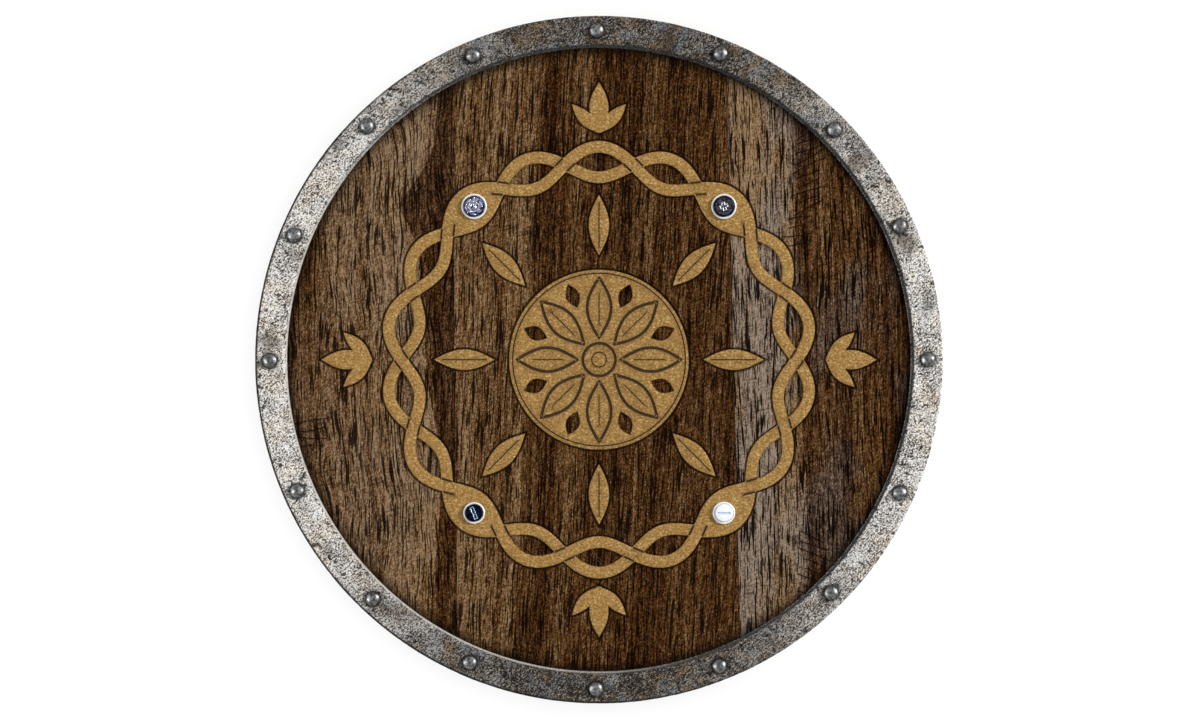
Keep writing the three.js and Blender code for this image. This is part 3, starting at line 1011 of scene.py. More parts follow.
LEFT_BOARD = WoodFinish(
    name="walnut_light", lean=0.03, wave=30.0, seed=3.1, grey=0.1, pore=0.95, band=0.5, streak=0.75,
    tones=((-290, 0.58), (-250, 0.65), (-235, 0.74), (-212, 0.77), (-190, 0.80), (-165, 0.84),
           (-120, 0.82)),
)
MIDDLE_BOARD = WoodFinish(
    name="walnut_dark", lean=-0.05, wave=7.0, seed=8.4, grey=0.0, pore=0.95, band=0.7, streak=0.9,
    tones=((-135, 0.77), (-100, 0.74), (-66, 0.64), (-58, 0.37), (-38, 0.40), (-24, 0.66),
           (-10, 0.40), (22, 0.41), (36, 0.51), (52, 0.39), (70, 0.42), (110, 0.50)),
)
RIGHT_BOARD = WoodFinish(
    name="walnut_pale", lean=0.024, wave=9.0, seed=5.7, grey=0.42, pore=1.0, band=0.7, streak=0.9,
    tones=((112, 0.92), (140, 0.88), (162, 0.86), (176, 0.70), (185, 0.28), (190, 0.53),
           (220, 0.51), (250, 0.49), (275, 0.44)),
)

FINISH_MARK = "_finish"


def new_material(name: str) -> tuple[bpy.types.Material, Graph, bpy.types.Node]:
    """A material with a Principled shader, its graph and that shader.

    Args:
        name: its name without the mark.

    Returns:
        All three.
    """
    material = bpy.data.materials.new(name + FINISH_MARK)
    material.use_nodes = True
    graph = Graph(material.node_tree)
    return material, graph, material.node_tree.nodes["Principled BSDF"]


def tone_across(graph: Graph, across: Socket, tones: Tones) -> Socket:
    """Board tone by distance across the grain."""
    stops = tuple(((x + TONE_SPAN) / (2 * TONE_SPAN), (tone, tone, tone, 1.0)) for x, tone in tones)
    return graph.ramp(graph.level(across, -TONE_SPAN, TONE_SPAN), stops)


def wood_material(finish: WoodFinish, groups: Groups) -> bpy.types.Material:
    """Open-grained walnut: bands, streaks, dark pores, scratches, and painted shade along the ring's foot
    and in pockets and grooves.

    Args:
        finish: the board's tones and grain.
        groups: the shared node groups.

    Returns:
        The material.
    """
    material, g, shader = new_material(finish.name)
    place = g.place()
    bend = {"Vector": place, "Lean": finish.lean, "Wave": finish.wave, "Seed": finish.seed}
    grain = g.group(groups.grain, bend)
    tone = tone_across(g, grain["Across"], finish.tones)
    if finish is LEFT_BOARD:
        tone = cathedral(g, place, tone)
    weights = {"Bands": finish.band, "Streaks": finish.streak, "Fibres": 1.0, "Sanding": 1.9}
    for label, weight in weights.items():
        tone = g.plus(tone, g.times(g.minus(grain[label], 0.5), weight))
    radial = g.group(groups.radial, {"Vector": place})
    colour = g.ramp(tone, WALNUT_COLOURS)
    patch = g.noise(g.scaled(place, (1, 0.4, 1)), 22.0, 2.0)
    dull = g.span(patch, 0.38, 0.58, 1.0, 1 - 0.8 * finish.grey)
    colour = g.add("ShaderNodeHueSaturation", {}, {"Saturation": dull, "Color": colour}).outputs[0]
    pores = g.times(grain["Pores"], finish.pore, clamp=True)
    colour = g.stain(colour, pores, 0.97, srgb(10, 3, 0))
    light, dark = (
        g.group(groups.scratch, {"Vector": place, "Turn": turn, "Fineness": fine, "Threshold": least})[0]
        for turn, fine, least in ((0.7, 60.0, 0.715), (-0.25, 48.0, 0.73))
    )
    colour = g.stain(colour, light, 0.22, srgb(150, 124, 96))
    colour = g.stain(colour, dark, 0.5, srgb(28, 14, 6))
    # painted shade: the face darkens all round towards the ring's foot, where its shadow falls
    painted_rim_shade = g.math("POWER", g.span(radial["Radius"], RING_INSIDE - 13.2, RING_INSIDE + 0.8), 1.2)
    painted_rim_shade = g.times(painted_rim_shade, g.span(g.parts(place)[2], BACK_Z + 2 * MM, FACE_Z - 2 * MM))
    colour = g.stain(colour, painted_rim_shade, 0.8, srgb(8, 4, 1))
    # painted shade on pocket walls and groove floors; along board edges it darkens the seams
    cut = g.attribute("cut")
    colour = g.stain(colour, cut, 0.85, srgb(22, 10, 4))
    height = g.times(grain["Fibres"], 0.55)
    for layer, weight in ((grain["Streaks"], 0.5), (grain["Sanding"], 1.3), (pores, -0.55),
                          (dark, -0.3), (light, -0.15)):
        height = g.plus(height, g.times(layer, weight))
    rough = g.span(grain["Fibres"], 0.3, 0.7, 0.58, 0.78)
    g.fill(shader, {"Base Color": colour, "Normal": g.bumped(height, 1.0), "Roughness": rough,
                    "Specular IOR Level": 0.02})
    return material


def cathedral(g: Graph, place: Socket, tone: Socket) -> Socket:
    """Darker heartwood to the right of a pointed growth line on the left board.

    Args:
        g: the board's graph.
        place: object coordinates.
        tone: the board's tone without the heartwood.

    Returns:
        The tone with it.
    """
    x, y, _ = g.parts(g.scaled(place, (1000, 1000, 1000)))
    shape = ((0.0, 0.33), (0.145, 0.36), (0.204, 0.41), (0.248, 0.43), (0.352, 0.46), (0.463, 0.34),
             (0.666, 0.25), (0.702, 0.16), (0.728, 0.075), (0.74, 0.12), (0.765, 0.225), (0.79, 0.33),
             (0.814, 0.385), (0.891, 0.43), (1.0, 0.5))
    wiggle = g.noise(g.scaled(place, (9, 40, 9)), 1.0, 2.0)
    line = g.plus(g.curve(g.level(y, -300, 300), shape), g.times(wiggle, 0.05))
    beyond = g.minus(x, g.minus(g.times(line, 100.0), 188.0))
    heart = g.times(g.span(beyond, -0.8, 0.8), 0.45)
    rings = g.times(g.math("SINE", g.times(beyond, 0.42)), g.span(beyond, -90, 0))
    return g.plus(g.minus(tone, heart), g.times(rings, 0.06))


@dataclass(frozen=True)
class MetalFinish:
    """A plain metal: colours of its skin, gloss and grit, then of its painted shade and painted
    highlights.
    """

    name: str
    low: Colour
    high: Colour
    roughness: float
    metallic: float
    grain: float
    bump: float
    deep: Colour
    gleam: Colour


RIVET_STEEL = MetalFinish(
    "rivet_steel", srgb(78, 78, 79), srgb(146, 146, 147), roughness=0.44, metallic=1.0, grain=420.0,
    bump=0.10, deep=srgb(14, 13, 12), gleam=srgb(200, 200, 200),
)
DARK_STEEL = MetalFinish(
    "dark_steel", srgb(34, 34, 44), srgb(112, 110, 124), roughness=0.30, metallic=1.0, grain=420.0,
    bump=0.3, deep=srgb(10, 10, 14), gleam=srgb(236, 238, 244),
)
BLUED_STEEL = MetalFinish(
    "blued_steel", srgb(2, 4, 9), srgb(26, 42, 72), roughness=0.22, metallic=1.0, grain=380.0,
    bump=0.5, deep=srgb(2, 3, 8), gleam=srgb(206, 224, 248),
)
CHROME = MetalFinish(
    "chrome", srgb(22, 25, 92), srgb(216, 222, 253), roughness=0.17, metallic=1.0, grain=380.0,
    bump=1.5, deep=srgb(8, 10, 38), gleam=srgb(246, 248, 255),
)
WHITE_CHROME = MetalFinish(
    "white_chrome", srgb(240, 244, 250), srgb(255, 255, 255), roughness=0.3, metallic=0.1, grain=300.0,
    bump=0.05, deep=srgb(240, 244, 250), gleam=srgb(218, 230, 246),
)
BRIGHT_STEEL = MetalFinish(
    "bright_steel", srgb(236, 238, 242), srgb(252, 253, 255), roughness=0.35, metallic=0.2, grain=500.0,
    bump=0.03, deep=srgb(60, 60, 62), gleam=srgb(255, 255, 255),
)
ZINC_STEEL = MetalFinish(
    "zinc_steel", srgb(112, 114, 117), srgb(180, 182, 184), roughness=0.42, metallic=0.8, grain=420.0,
    bump=0.15, deep=srgb(34, 34, 36), gleam=srgb(230, 230, 232),
)
METALS = (RIVET_STEEL, DARK_STEEL, BLUED_STEEL, CHROME, WHITE_CHROME, BRIGHT_STEEL, ZINC_STEEL)


def metal_material(finish: MetalFinish, groups: Groups) -> bpy.types.Material:
    """Worn plain metal with mottled colour; "cut" is 1 where shade is painted and 2 where a highlight is
    painted.

    Args:
        finish: its colours, gloss and grit.
        groups: the shared node groups.

    Returns:
        The material.
    """
    material, g, shader = new_material(finish.name)
    place = g.place()
    grit = g.group(groups.grit, {"Vector": place, "Grain": finish.grain})
    colour = g.mix(g.span(grit["Grains"], 0.36, 0.62), finish.low, finish.high)
    cut = g.attribute("cut")
    # painted shade up to a mark of 1, then a painted highlight towards 2
    colour = g.mix(g.times(cut, 0.9, clamp=True), colour, finish.deep)
    colour = g.mix(g.span(cut, 1.1, 1.7), colour, finish.gleam)
    rough = g.span(grit["Mottle"], 0.3, 0.7, finish.roughness * 0.8, finish.roughness * 1.25)
    g.fill(shader, {"Base Color": colour, "Roughness": rough, "Metallic": finish.metallic,
                    "Normal": g.bumped(grit["Grains"], finish.bump)})
    return material


def iron_material(groups: Groups) -> bpy.types.Material:
    """Pitted grey iron with a painted reflection, pale at both sides and dark at top and bottom, and
    painted shade and highlight along its edges.

    Args:
        groups: the shared node groups.

    Returns:
        The material.
    """
    material, g, shader = new_material("iron")
    place = g.place()
    radial = g.group(groups.radial, {"Vector": place})
    grit = g.group(groups.grit, {"Vector": place, "Grain": 740.0})
    coarse = g.group(groups.grit, {"Vector": place, "Grain": 300.0})
    # painted reflection: pale at both sides, dark at top and bottom, tilted a little by the lean
    slow = g.times(g.minus(grit["Mottle"], 0.5), 0.6)
    lean = g.plus(g.times(radial["Slant"], -0.08), g.times(radial["East"], -0.10))
    side = g.plus(g.plus(radial["Sideways"], slow), lean)
    level = g.span(side, 0.0, 0.84)
    ridges = g.noise(g.scaled(g.rotated(place, 0.75), (620, 250, 620)), 1.0, 3.0, 0.6)
    grains = g.plus(g.times(grit["Grains"], 0.6), g.times(ridges, 0.4))
    patch = g.minus(g.noise(g.scaled(place, (1, 1, 1), (2, 8, 6)), 75.0, 3.0), 0.5)
    grains = g.plus(grains, g.times(patch, 0.16))
    pale = g.ramp(grains, ((0.39, srgb(4, 3, 2)), (0.44, srgb(104, 97, 89)),
                           (0.49, srgb(184, 177, 169)), (0.54, srgb(255, 254, 252))))
    iron_out_of_reflection = g.ramp(grains, ((0.40, srgb(2, 2, 1)), (0.46, srgb(38, 32, 27)),
                            (0.52, srgb(74, 68, 61)), (0.585, srgb(160, 154, 147))))
    colour = g.mix(level, iron_out_of_reflection, pale)
    warm = g.span(g.noise(g.scaled(place, (1, 1, 1), (4, 4, 9)), 48.0, 3.0), 0.42, 0.66)
    colour = g.stain(colour, warm, 0.55, srgb(255, 242, 222), blend="MULTIPLY")
    stain = g.span(g.noise(place, 26.0, 3.0), 0.57, 0.70)
    colour = g.stain(colour, stain, 0.6, srgb(56, 46, 37))
    patches = (((9, 2, 4), 70.0, 0.6, srgb(28, 18, 8), srgb(146, 118, 78)),
               ((3, 5, 1), 60.0, 0.55, srgb(34, 36, 40), srgb(136, 142, 150)))
    for offset, scale, strength, deep, pale_tint in patches:
        mask = g.span(g.noise(g.scaled(place, (1, 1, 1), offset), scale, 3.0), 0.5, 0.66)
        mask = g.times(mask, g.minus(1.0, level))
        colour = g.stain(colour, mask, strength, g.mix(g.span(grains, 0.40, 0.58), deep, pale_tint))
    pits = g.math("MAXIMUM", grit["Pits"], coarse["Pits"])
    colour = g.stain(colour, pits, 0.85, srgb(18, 15, 12))
    # painted shade: the inner bevel is dark grey on the side turned from the key light
    bevel_shade_mask = g.attribute("cut")
    bevel_shade_tone = g.mix(g.span(grit["Grains"], 0.35, 0.65), srgb(30, 31, 31), srgb(84, 86, 86))
    from_light = g.plus(g.times(radial["East"], 0.9), g.times(radial["North"], 0.45))
    shaded = g.span(from_light, -0.75, -0.05)
    colour = g.stain(colour, g.times(bevel_shade_mask, shaded), 0.92, bevel_shade_tone)
    # painted highlight: a pale line low on the bevel on the side facing the key light
    bright = g.times(g.span(radial["Radius"], RING_INSIDE + 2.4, RING_INSIDE + 1.2), g.minus(1.0, shaded))
    colour = g.stain(colour, bright, 0.8, srgb(214, 208, 198))
    # painted shade: nearly black at the ring's inner foot all round, against the wood
    foot = g.span(radial["Radius"], RING_INSIDE + 0.7, RING_INSIDE + 0.1)
    colour = g.stain(colour, foot, 0.9, srgb(14, 12, 10))
    # painted shade round each rivet's foot, with real dirt in the stained places
    grime = g.attribute("grime")
    grime = g.times(grime, g.span(grit["Grains"], 0.2, 0.75, 1.25, 0.75), clamp=True)
    colour = g.stain(colour, grime, 0.8, srgb(28, 24, 20))
    # painted shade: a dark line on the rounded outer edge, on the side away from the key light
    lip = g.span(radial["Radius"], RING_OUTSIDE - 2.8, RING_OUTSIDE - 1.4)
    lip = g.times(lip, g.span(from_light, 0.3, -0.5))
    colour = g.stain(colour, lip, 0.95, srgb(16, 14, 12))
    height = g.minus(g.times(grains, 3.8), g.times(pits, 0.5))
    g.fill(shader, {"Base Color": colour, "Roughness": g.span(grains, 0.35, 0.65, 0.62, 0.46),
                    "Metallic": 0.3, "Specular IOR Level": 0.25, "Normal": g.bumped(height, 0.9)})
    return material


def brass_material(groups: Groups) -> bpy.types.Material:
    """Matt old brass with a fine sandy skin, and painted shade in its engraved lines and along its edges.

    Args:
        groups: the shared node groups.

    Returns:
        The material.
    """
    material, g, shader = new_material("brass")
    place = g.place()
    grit = g.group(groups.grit, {"Vector": place, "Grain": 640.0})
    weave = g.noise(g.scaled(place, (420, 700, 420)), 1.0, 2.0, 0.7)
    grains = g.plus(g.times(grit["Grains"], 0.6), g.times(weave, 0.4))
    colour = g.ramp(grains, ((0.38, srgb(128, 92, 42)), (0.46, srgb(152, 115, 59)),
                             (0.54, srgb(168, 131, 73)), (0.62, srgb(206, 172, 116))))
    tarnish = g.span(g.noise(place, 30.0, 3.0), 0.5, 0.75)
    colour = g.stain(colour, tarnish, 0.16, srgb(132, 98, 52))
    # painted shade along the plate's edges and in its engraved grooves
    cut = g.attribute("cut")
    colour = g.stain(colour, cut, 0.95, srgb(46, 30, 18))
    g.fill(shader, {"Base Color": colour, "Roughness": g.span(grains, 0.35, 0.65, 0.7, 0.55),
                    "Metallic": 0.2, "Specular IOR Level": 0.2, "Normal": g.bumped(grains, 0.9)})
    return material


def leather_material(groups: Groups) -> bpy.types.Material:
    """Waxed brown leather with fine creases.

    Args:
        groups: the shared node groups.

    Returns:
        The material.
    """
    material, g, shader = new_material("leather")
    place = g.place()
    grit = g.group(groups.grit, {"Vector": place, "Grain": 260.0})
    cells = g.add("ShaderNodeTexVoronoi", {"feature": "DISTANCE_TO_EDGE"},
                  {"Vector": place, "Scale": 620.0}).outputs["Distance"]
    crease = g.span(cells, 0.0, 0.12)
    colour = g.mix(g.span(grit["Mottle"], 0.3, 0.7), srgb(58, 34, 20), srgb(104, 68, 42))
    colour = g.stain(colour, g.minus(1.0, crease), 0.35, srgb(30, 16, 9))
    height = g.plus(g.times(crease, 0.3), g.times(grit["Grains"], 0.3))
    g.fill(shader, {"Base Color": colour, "Roughness": g.span(grit["Grains"], 0.3, 0.7, 0.45, 0.68),
                    "Normal": g.bumped(height, 0.6)})
    return material


def thread_material() -> bpy.types.Material:
    """Waxed linen thread, twisted.

    Returns:
        The material.
    """
    material, g, shader = new_material("thread")
    twist = g.noise(g.scaled(g.place(), (1400, 1400, 1400)), 1.0, 1.0)
    colour = g.mix(g.span(twist, 0.35, 0.65), srgb(120, 98, 70), srgb(196, 176, 140))
    g.fill(shader, {"Base Color": colour, "Roughness": 0.7, "Normal": g.bumped(twist, 0.4)})
    return material


# ---------------------------------------------------------------- pieces


@dataclass
class Workshop:
    """Materials by slot, and the collection that the object's pieces are lit in."""

    materials: dict[str, bpy.types.Material]
    lit: bpy.types.Collection

    def finish(self, piece: bpy.types.Object, slot: Slot, *nodes: str, material: str = "") -> None:
        """Give a piece its material and its body, and hide the CAD nodes that it stands for.

        Args:
            piece: the finished object.
            slot: record slot of its finish.
            nodes: CAD nodes that it replaces.
            material: another material than the slot's own.
        """
        piece.data.materials.append(self.materials[material or slot.value])
        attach(piece, "root")
        if nodes:
            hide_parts(*nodes)
        self.lit.objects.link(piece)


@dataclass
class IronRim:
    """The ring on the face and the band round the edge."""

    segments: int = 1200
    band_segments: int = 720
    step: float = 1.25 * MM
    band_step: float = 2.2 * MM
    # x, y and reach in millimetres, and strength, of each stain
    stains: tuple[tuple[float, float, float, float], ...] = (
        (-232, 194, 9, 0.9), (265, 112, 12, 0.8), (-262, -132, 7, 0.6), (-240, -172, 8, 0.5),
    )

    def build(self, shop: Workshop) -> None:
        """Build both hoops with a dented, pitted skin."""
        self._hoop(shop, "face_ring", "iron_face_ring", self._ring_profile(), self.step)
        self._hoop(shop, "edge_band", "iron_edge_band", self._band_profile(), self.band_step)

    @staticmethod
    def _ring_profile() -> np.ndarray:
        """Section of the ring: flat underside, rounded outer corner, inner bevel rounded by wear.

        Returns:
            Its corners.
        """
        arc = np.linspace(0, QUARTER, 7)
        round_off = np.column_stack([SHIELD_RADIUS - EDGE_ROUNDING * (1 - np.cos(arc)),
                                     RING_TOP - EDGE_ROUNDING * (1 - np.sin(arc))])
        crest = RING_INNER_RADIUS + RING_BEVEL
        bevel = np.array([[crest + 0.8 * MM, RING_TOP], [crest, RING_TOP - 0.25 * MM],
                          [crest - 0.7 * MM, RING_TOP - 0.9 * MM]])
        return np.vstack([[RING_INNER_RADIUS, RING_FOOT], [SHIELD_RADIUS, RING_FOOT], round_off, bevel])

    @staticmethod
    def _band_profile() -> np.ndarray:
        """Section of the band with lightly rounded edges.

        Returns:
            Its corners.
        """
        inner = SHIELD_RADIUS - BAND_THICKNESS
        top = BAND_HIGH[2]
        soft = 0.6 * MM
        return np.array([[inner, soft], [inner + soft, 0], [SHIELD_RADIUS - soft, 0],
                         [SHIELD_RADIUS, soft], [SHIELD_RADIUS, top - soft],
                         [SHIELD_RADIUS - soft, top], [inner, top]])

    def _hoop(self, shop: Workshop, name: str, node: str, corners: np.ndarray, step: float) -> None:
        """Spin a section, then sink its skin by dents and pits along its own normal.

        Args:
            shop: where the pieces are finished.
            name: name of the piece.
            node: CAD node that it replaces.
            corners: its section.
            step: spacing of points along the section.
        """
        profile = resampled(corners, step, closed=True)
        # the inner bevel and flank, where the iron paints shade on the side away from the light
        bevel_shade_mask = (profile[:, 0] < RING_INNER_RADIUS + RING_BEVEL) & (profile[:, 1] > RING_FOOT + 0.1 * MM)
        ahead = np.roll(profile, -1, axis=0) - np.roll(profile, 1, axis=0)
        ahead /= np.linalg.norm(ahead, axis=1)[:, None]
        normal = np.column_stack([ahead[:, 1], -ahead[:, 0]])
        segments = self.segments if node == "iron_face_ring" else self.band_segments
        body = turned(profile, segments)
        dents = 0.16 * (1 - value_noise(body, 11 * MM, 1)) / 2
        pits = 0.26 * np.clip(value_noise(body, 3.1 * MM, 2) - 0.15, 0, 1)
        grains = 0.12 * (1 - value_noise(body, 1.9 * MM, 3)) / 2
        depth = (dents + pits + grains) * MM
        outward = np.repeat(normal, segments, axis=0)
        direction = body[:, :2] / np.linalg.norm(body[:, :2], axis=1)[:, None]
        body[:, :2] -= direction * (outward[:, :1] * depth[:, None])
        body[:, 2] -= outward[:, 1] * depth
        body[:, 2] = np.maximum(body[:, 2], BAND_LOW[2])
        parts = MeshParts()
        faces = grid_faces(len(profile), segments, wrap=True, wrap_rows=True)
        parts.add(body, faces, np.repeat(bevel_shade_mask.astype(float), segments))
        piece = parts.build(name, weld=False, sharp=60)
        # painted shade round the rivets, and real stains, as a vertex value
        grime = piece.data.attributes.new("grime", "FLOAT", "POINT")
        grime.data.foreach_set("value", self._grime(body).astype(np.float32))
        shop.finish(piece, Slot.IRON, node)

    def _grime(self, body: np.ndarray) -> np.ndarray:
        """Painted shade round each rivet's foot, and dirt in the stained places, 0 to 1.

        Args:
            body: the hoop's vertices.

        Returns:
            One value per vertex.
        """
        near = np.full(len(body), 1.0)
        for name in rivet_names():
            low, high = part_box(name)
            away = np.linalg.norm(body[:, :2] - plan_centre(low, high), axis=1)
            near = np.minimum(near, away)
        shade_and_stains = np.clip((9.4 * MM - near) / (2.2 * MM), 0, 1) ** 1.5
        shake = value_noise(body, 4.5 * MM, 8)
        for x, y, reach, strength in self.stains:
            away = np.linalg.norm(body[:, :2] - np.array([x, y]) * MM, axis=1) / (reach * MM)
            shade_and_stains = np.maximum(shade_and_stains, strength * np.clip(1.15 - away + 0.45 * shake, 0, 1))
        return shade_and_stains


@dataclass
class Boards:
    """Three walnut boards with pockets for the ornament."""

    step: float = 4.5 * MM
    arris: float = 0.8 * MM
    cut_width: float = 1.1 * MM
    cut_depth: float = 0.5 * MM

    def build(self, shop: Workshop, pockets: list[list[Line]]) -> None:
        """Build the boards.

        Args:
            shop: where the pieces are finished.
            pockets: for each pocket outline, its lines from the face down to the floor.
        """
        slots = (Slot.WALNUT_LIGHT, Slot.WALNUT_DARK, Slot.WALNUT_PALE)
        lines = [line for pocket in pockets for line in pocket]
        floors = [pocket[-1].points for pocket in pockets]
        cuts = self._cuts()
        crowd = [line for pocket in pockets for line in (pocket[0], pocket[-1])]
        scatter = scattered(BOARD_RADIUS, self.step, crowd + cuts, 1.0 * MM, 11)
        for number, (name, slot) in enumerate(zip(("left", "middle", "right"), slots)):
            outline = self._outline(number)
            low = outline.min(axis=0)
            high = outline.max(axis=0)
            near = [line for line in lines if self._meets(line, low, high)]
            cut = [line for line in cuts if inside(line.points, outline).all()]
            inset = self._inset(outline, self.arris)
            bevel = Line(inset, self._levels(floors, inset, 0.0))
            edge = self._levels(floors, outline, -0.45 * MM)
            mine = scatter[inside(scatter, self._inset(outline, 2 * self.arris))]
            level = self._levels(floors, mine, 0.0)
            # dark seams along the board's edge, and painted shade where it runs down a pocket
            marks = np.where(edge < -POCKET_DEPTH / 2, 1.0, 0.6)
            relief = Relief(Line(outline, edge, marks), [], [bevel, *near, *cut], mine, level)
            parts = relief.solid(FACE_Z, BACK_Z, 0.25 * MM, 20 + number)
            piece = parts.build(f"walnut_board_{name}", sharp=38)
            shop.finish(piece, slot, f"board_{name}")
            LOG.info("board %s: %d faces", name, len(piece.data.polygons))

    @staticmethod
    def _levels(floors: list[np.ndarray], points: np.ndarray, level: float) -> np.ndarray:
        """Height of each point: the pocket's floor in a pocket, else the given level.

        Args:
            floors: outlines of the pockets, the braid's outer and inner edges first.
            points: plan places.
            level: height outside the pockets.

        Returns:
            One height per point.
        """
        braid_outer, braid_inner = floors[0], floors[1]
        sunk = inside(points, braid_outer) & ~inside(points, braid_inner)
        for floor in floors[2:]:
            sunk |= inside(points, floor)
        return np.where(sunk, -POCKET_DEPTH, level)

    @staticmethod
    def _meets(line: Line, low: np.ndarray, high: np.ndarray) -> bool:
        """Whether a line's box overlaps a board's box."""
        return bool((line.points.max(axis=0) > low).all() and (line.points.min(axis=0) < high).all())

    @staticmethod
    def _outline(number: int) -> np.ndarray:
        """Plan of one board: seam lines and the arcs of the disc between them.

        Args:
            number: 0 for the left board, 1 for the middle, 2 for the right.

        Returns:
            The corners.
        """

        def seam_angle(seam: tuple[float, float], up: bool) -> float:
            """Direction in which a seam meets the disc's edge.

            Args:
                seam: its x at the top and at the bottom.
                up: whether the top end is meant.

            Returns:
                The angle from +X.
            """
            upper, lower = seam
            angle = math.acos((upper if up else lower) / BOARD_RADIUS)
            for _ in range(8):
                y = BOARD_RADIUS * math.sin(angle) * (1 if up else -1)
                x = lower + (y + SEAM_SPAN) / (2 * SEAM_SPAN) * (upper - lower)
                angle = math.acos(x / BOARD_RADIUS)
            return angle if up else -angle

        def arc(start: float, end: float) -> np.ndarray:
            """Points of the disc's edge from one direction to another."""
            count = int(BOARD_RADIUS * abs(end - start) / (3 * MM))
            return polar(BOARD_RADIUS, np.linspace(start, end, count))

        left_top, left_low = seam_angle(SEAMS[0], True), seam_angle(SEAMS[0], False)
        right_top, right_low = seam_angle(SEAMS[1], True), seam_angle(SEAMS[1], False)
        arcs = (
            [arc(left_top, TURN + left_low)],
            [arc(right_top, left_top), arc(left_low, right_low)],
            [arc(right_low, right_top)],
        )[number]
        outline = resampled(np.vstack(arcs), 3.2 * MM, closed=True)
        shift = (-GAP / 2, 0.0, GAP / 2)[number]
        return outline + np.array([shift, 0.0]) if number != 1 else outline

    @staticmethod
    def _inset(outline: np.ndarray, distance: float) -> np.ndarray:
        """The outline moved inward along the mean of its edges' normals.

        Args:
            outline: the corners.
            distance: how far they move.

        Returns:
            The moved corners.
        """
        ahead = np.roll(outline, -1, axis=0) - outline
        ahead /= np.linalg.norm(ahead, axis=1)[:, None]
        normal = np.column_stack([-ahead[:, 1], ahead[:, 0]])
        both = normal + np.roll(normal, 1, axis=0)
        both /= np.maximum((both ** 2).sum(axis=1) / 2, 0.5)[:, None]
        return outline + both * distance

    def _cuts(self) -> list[Line]:
        """Knife cuts across the grain, in four clusters near the rim.

        Returns:
            Lines of their grooves.
        """
        clusters = ((186, 172, 0.45, 10), (176, 118, 0.25, 4), (190, -180, -0.35, 8), (-255, -62, 0.05, 4))
        lines: list[Line] = []
        shake = np.random.default_rng(7)
        for x, y, slope, count in clusters:
            for k in range(count):
                middle = np.array([x, y + (k - count / 2) * 7.5]) * MM
                angle = slope + shake.uniform(-0.18, 0.18)
                half = shake.uniform(7, 15) * MM
                share = np.linspace(-1, 1, 12)[:, None]
                bow = np.column_stack([np.zeros(12), (1 - share[:, 0] ** 2) * shake.uniform(-1, 1) * MM])
                path = middle + share * half * polar(1.0, angle) + bow
                lines.extend(groove(path, self.cut_width, self.cut_depth))
        return lines


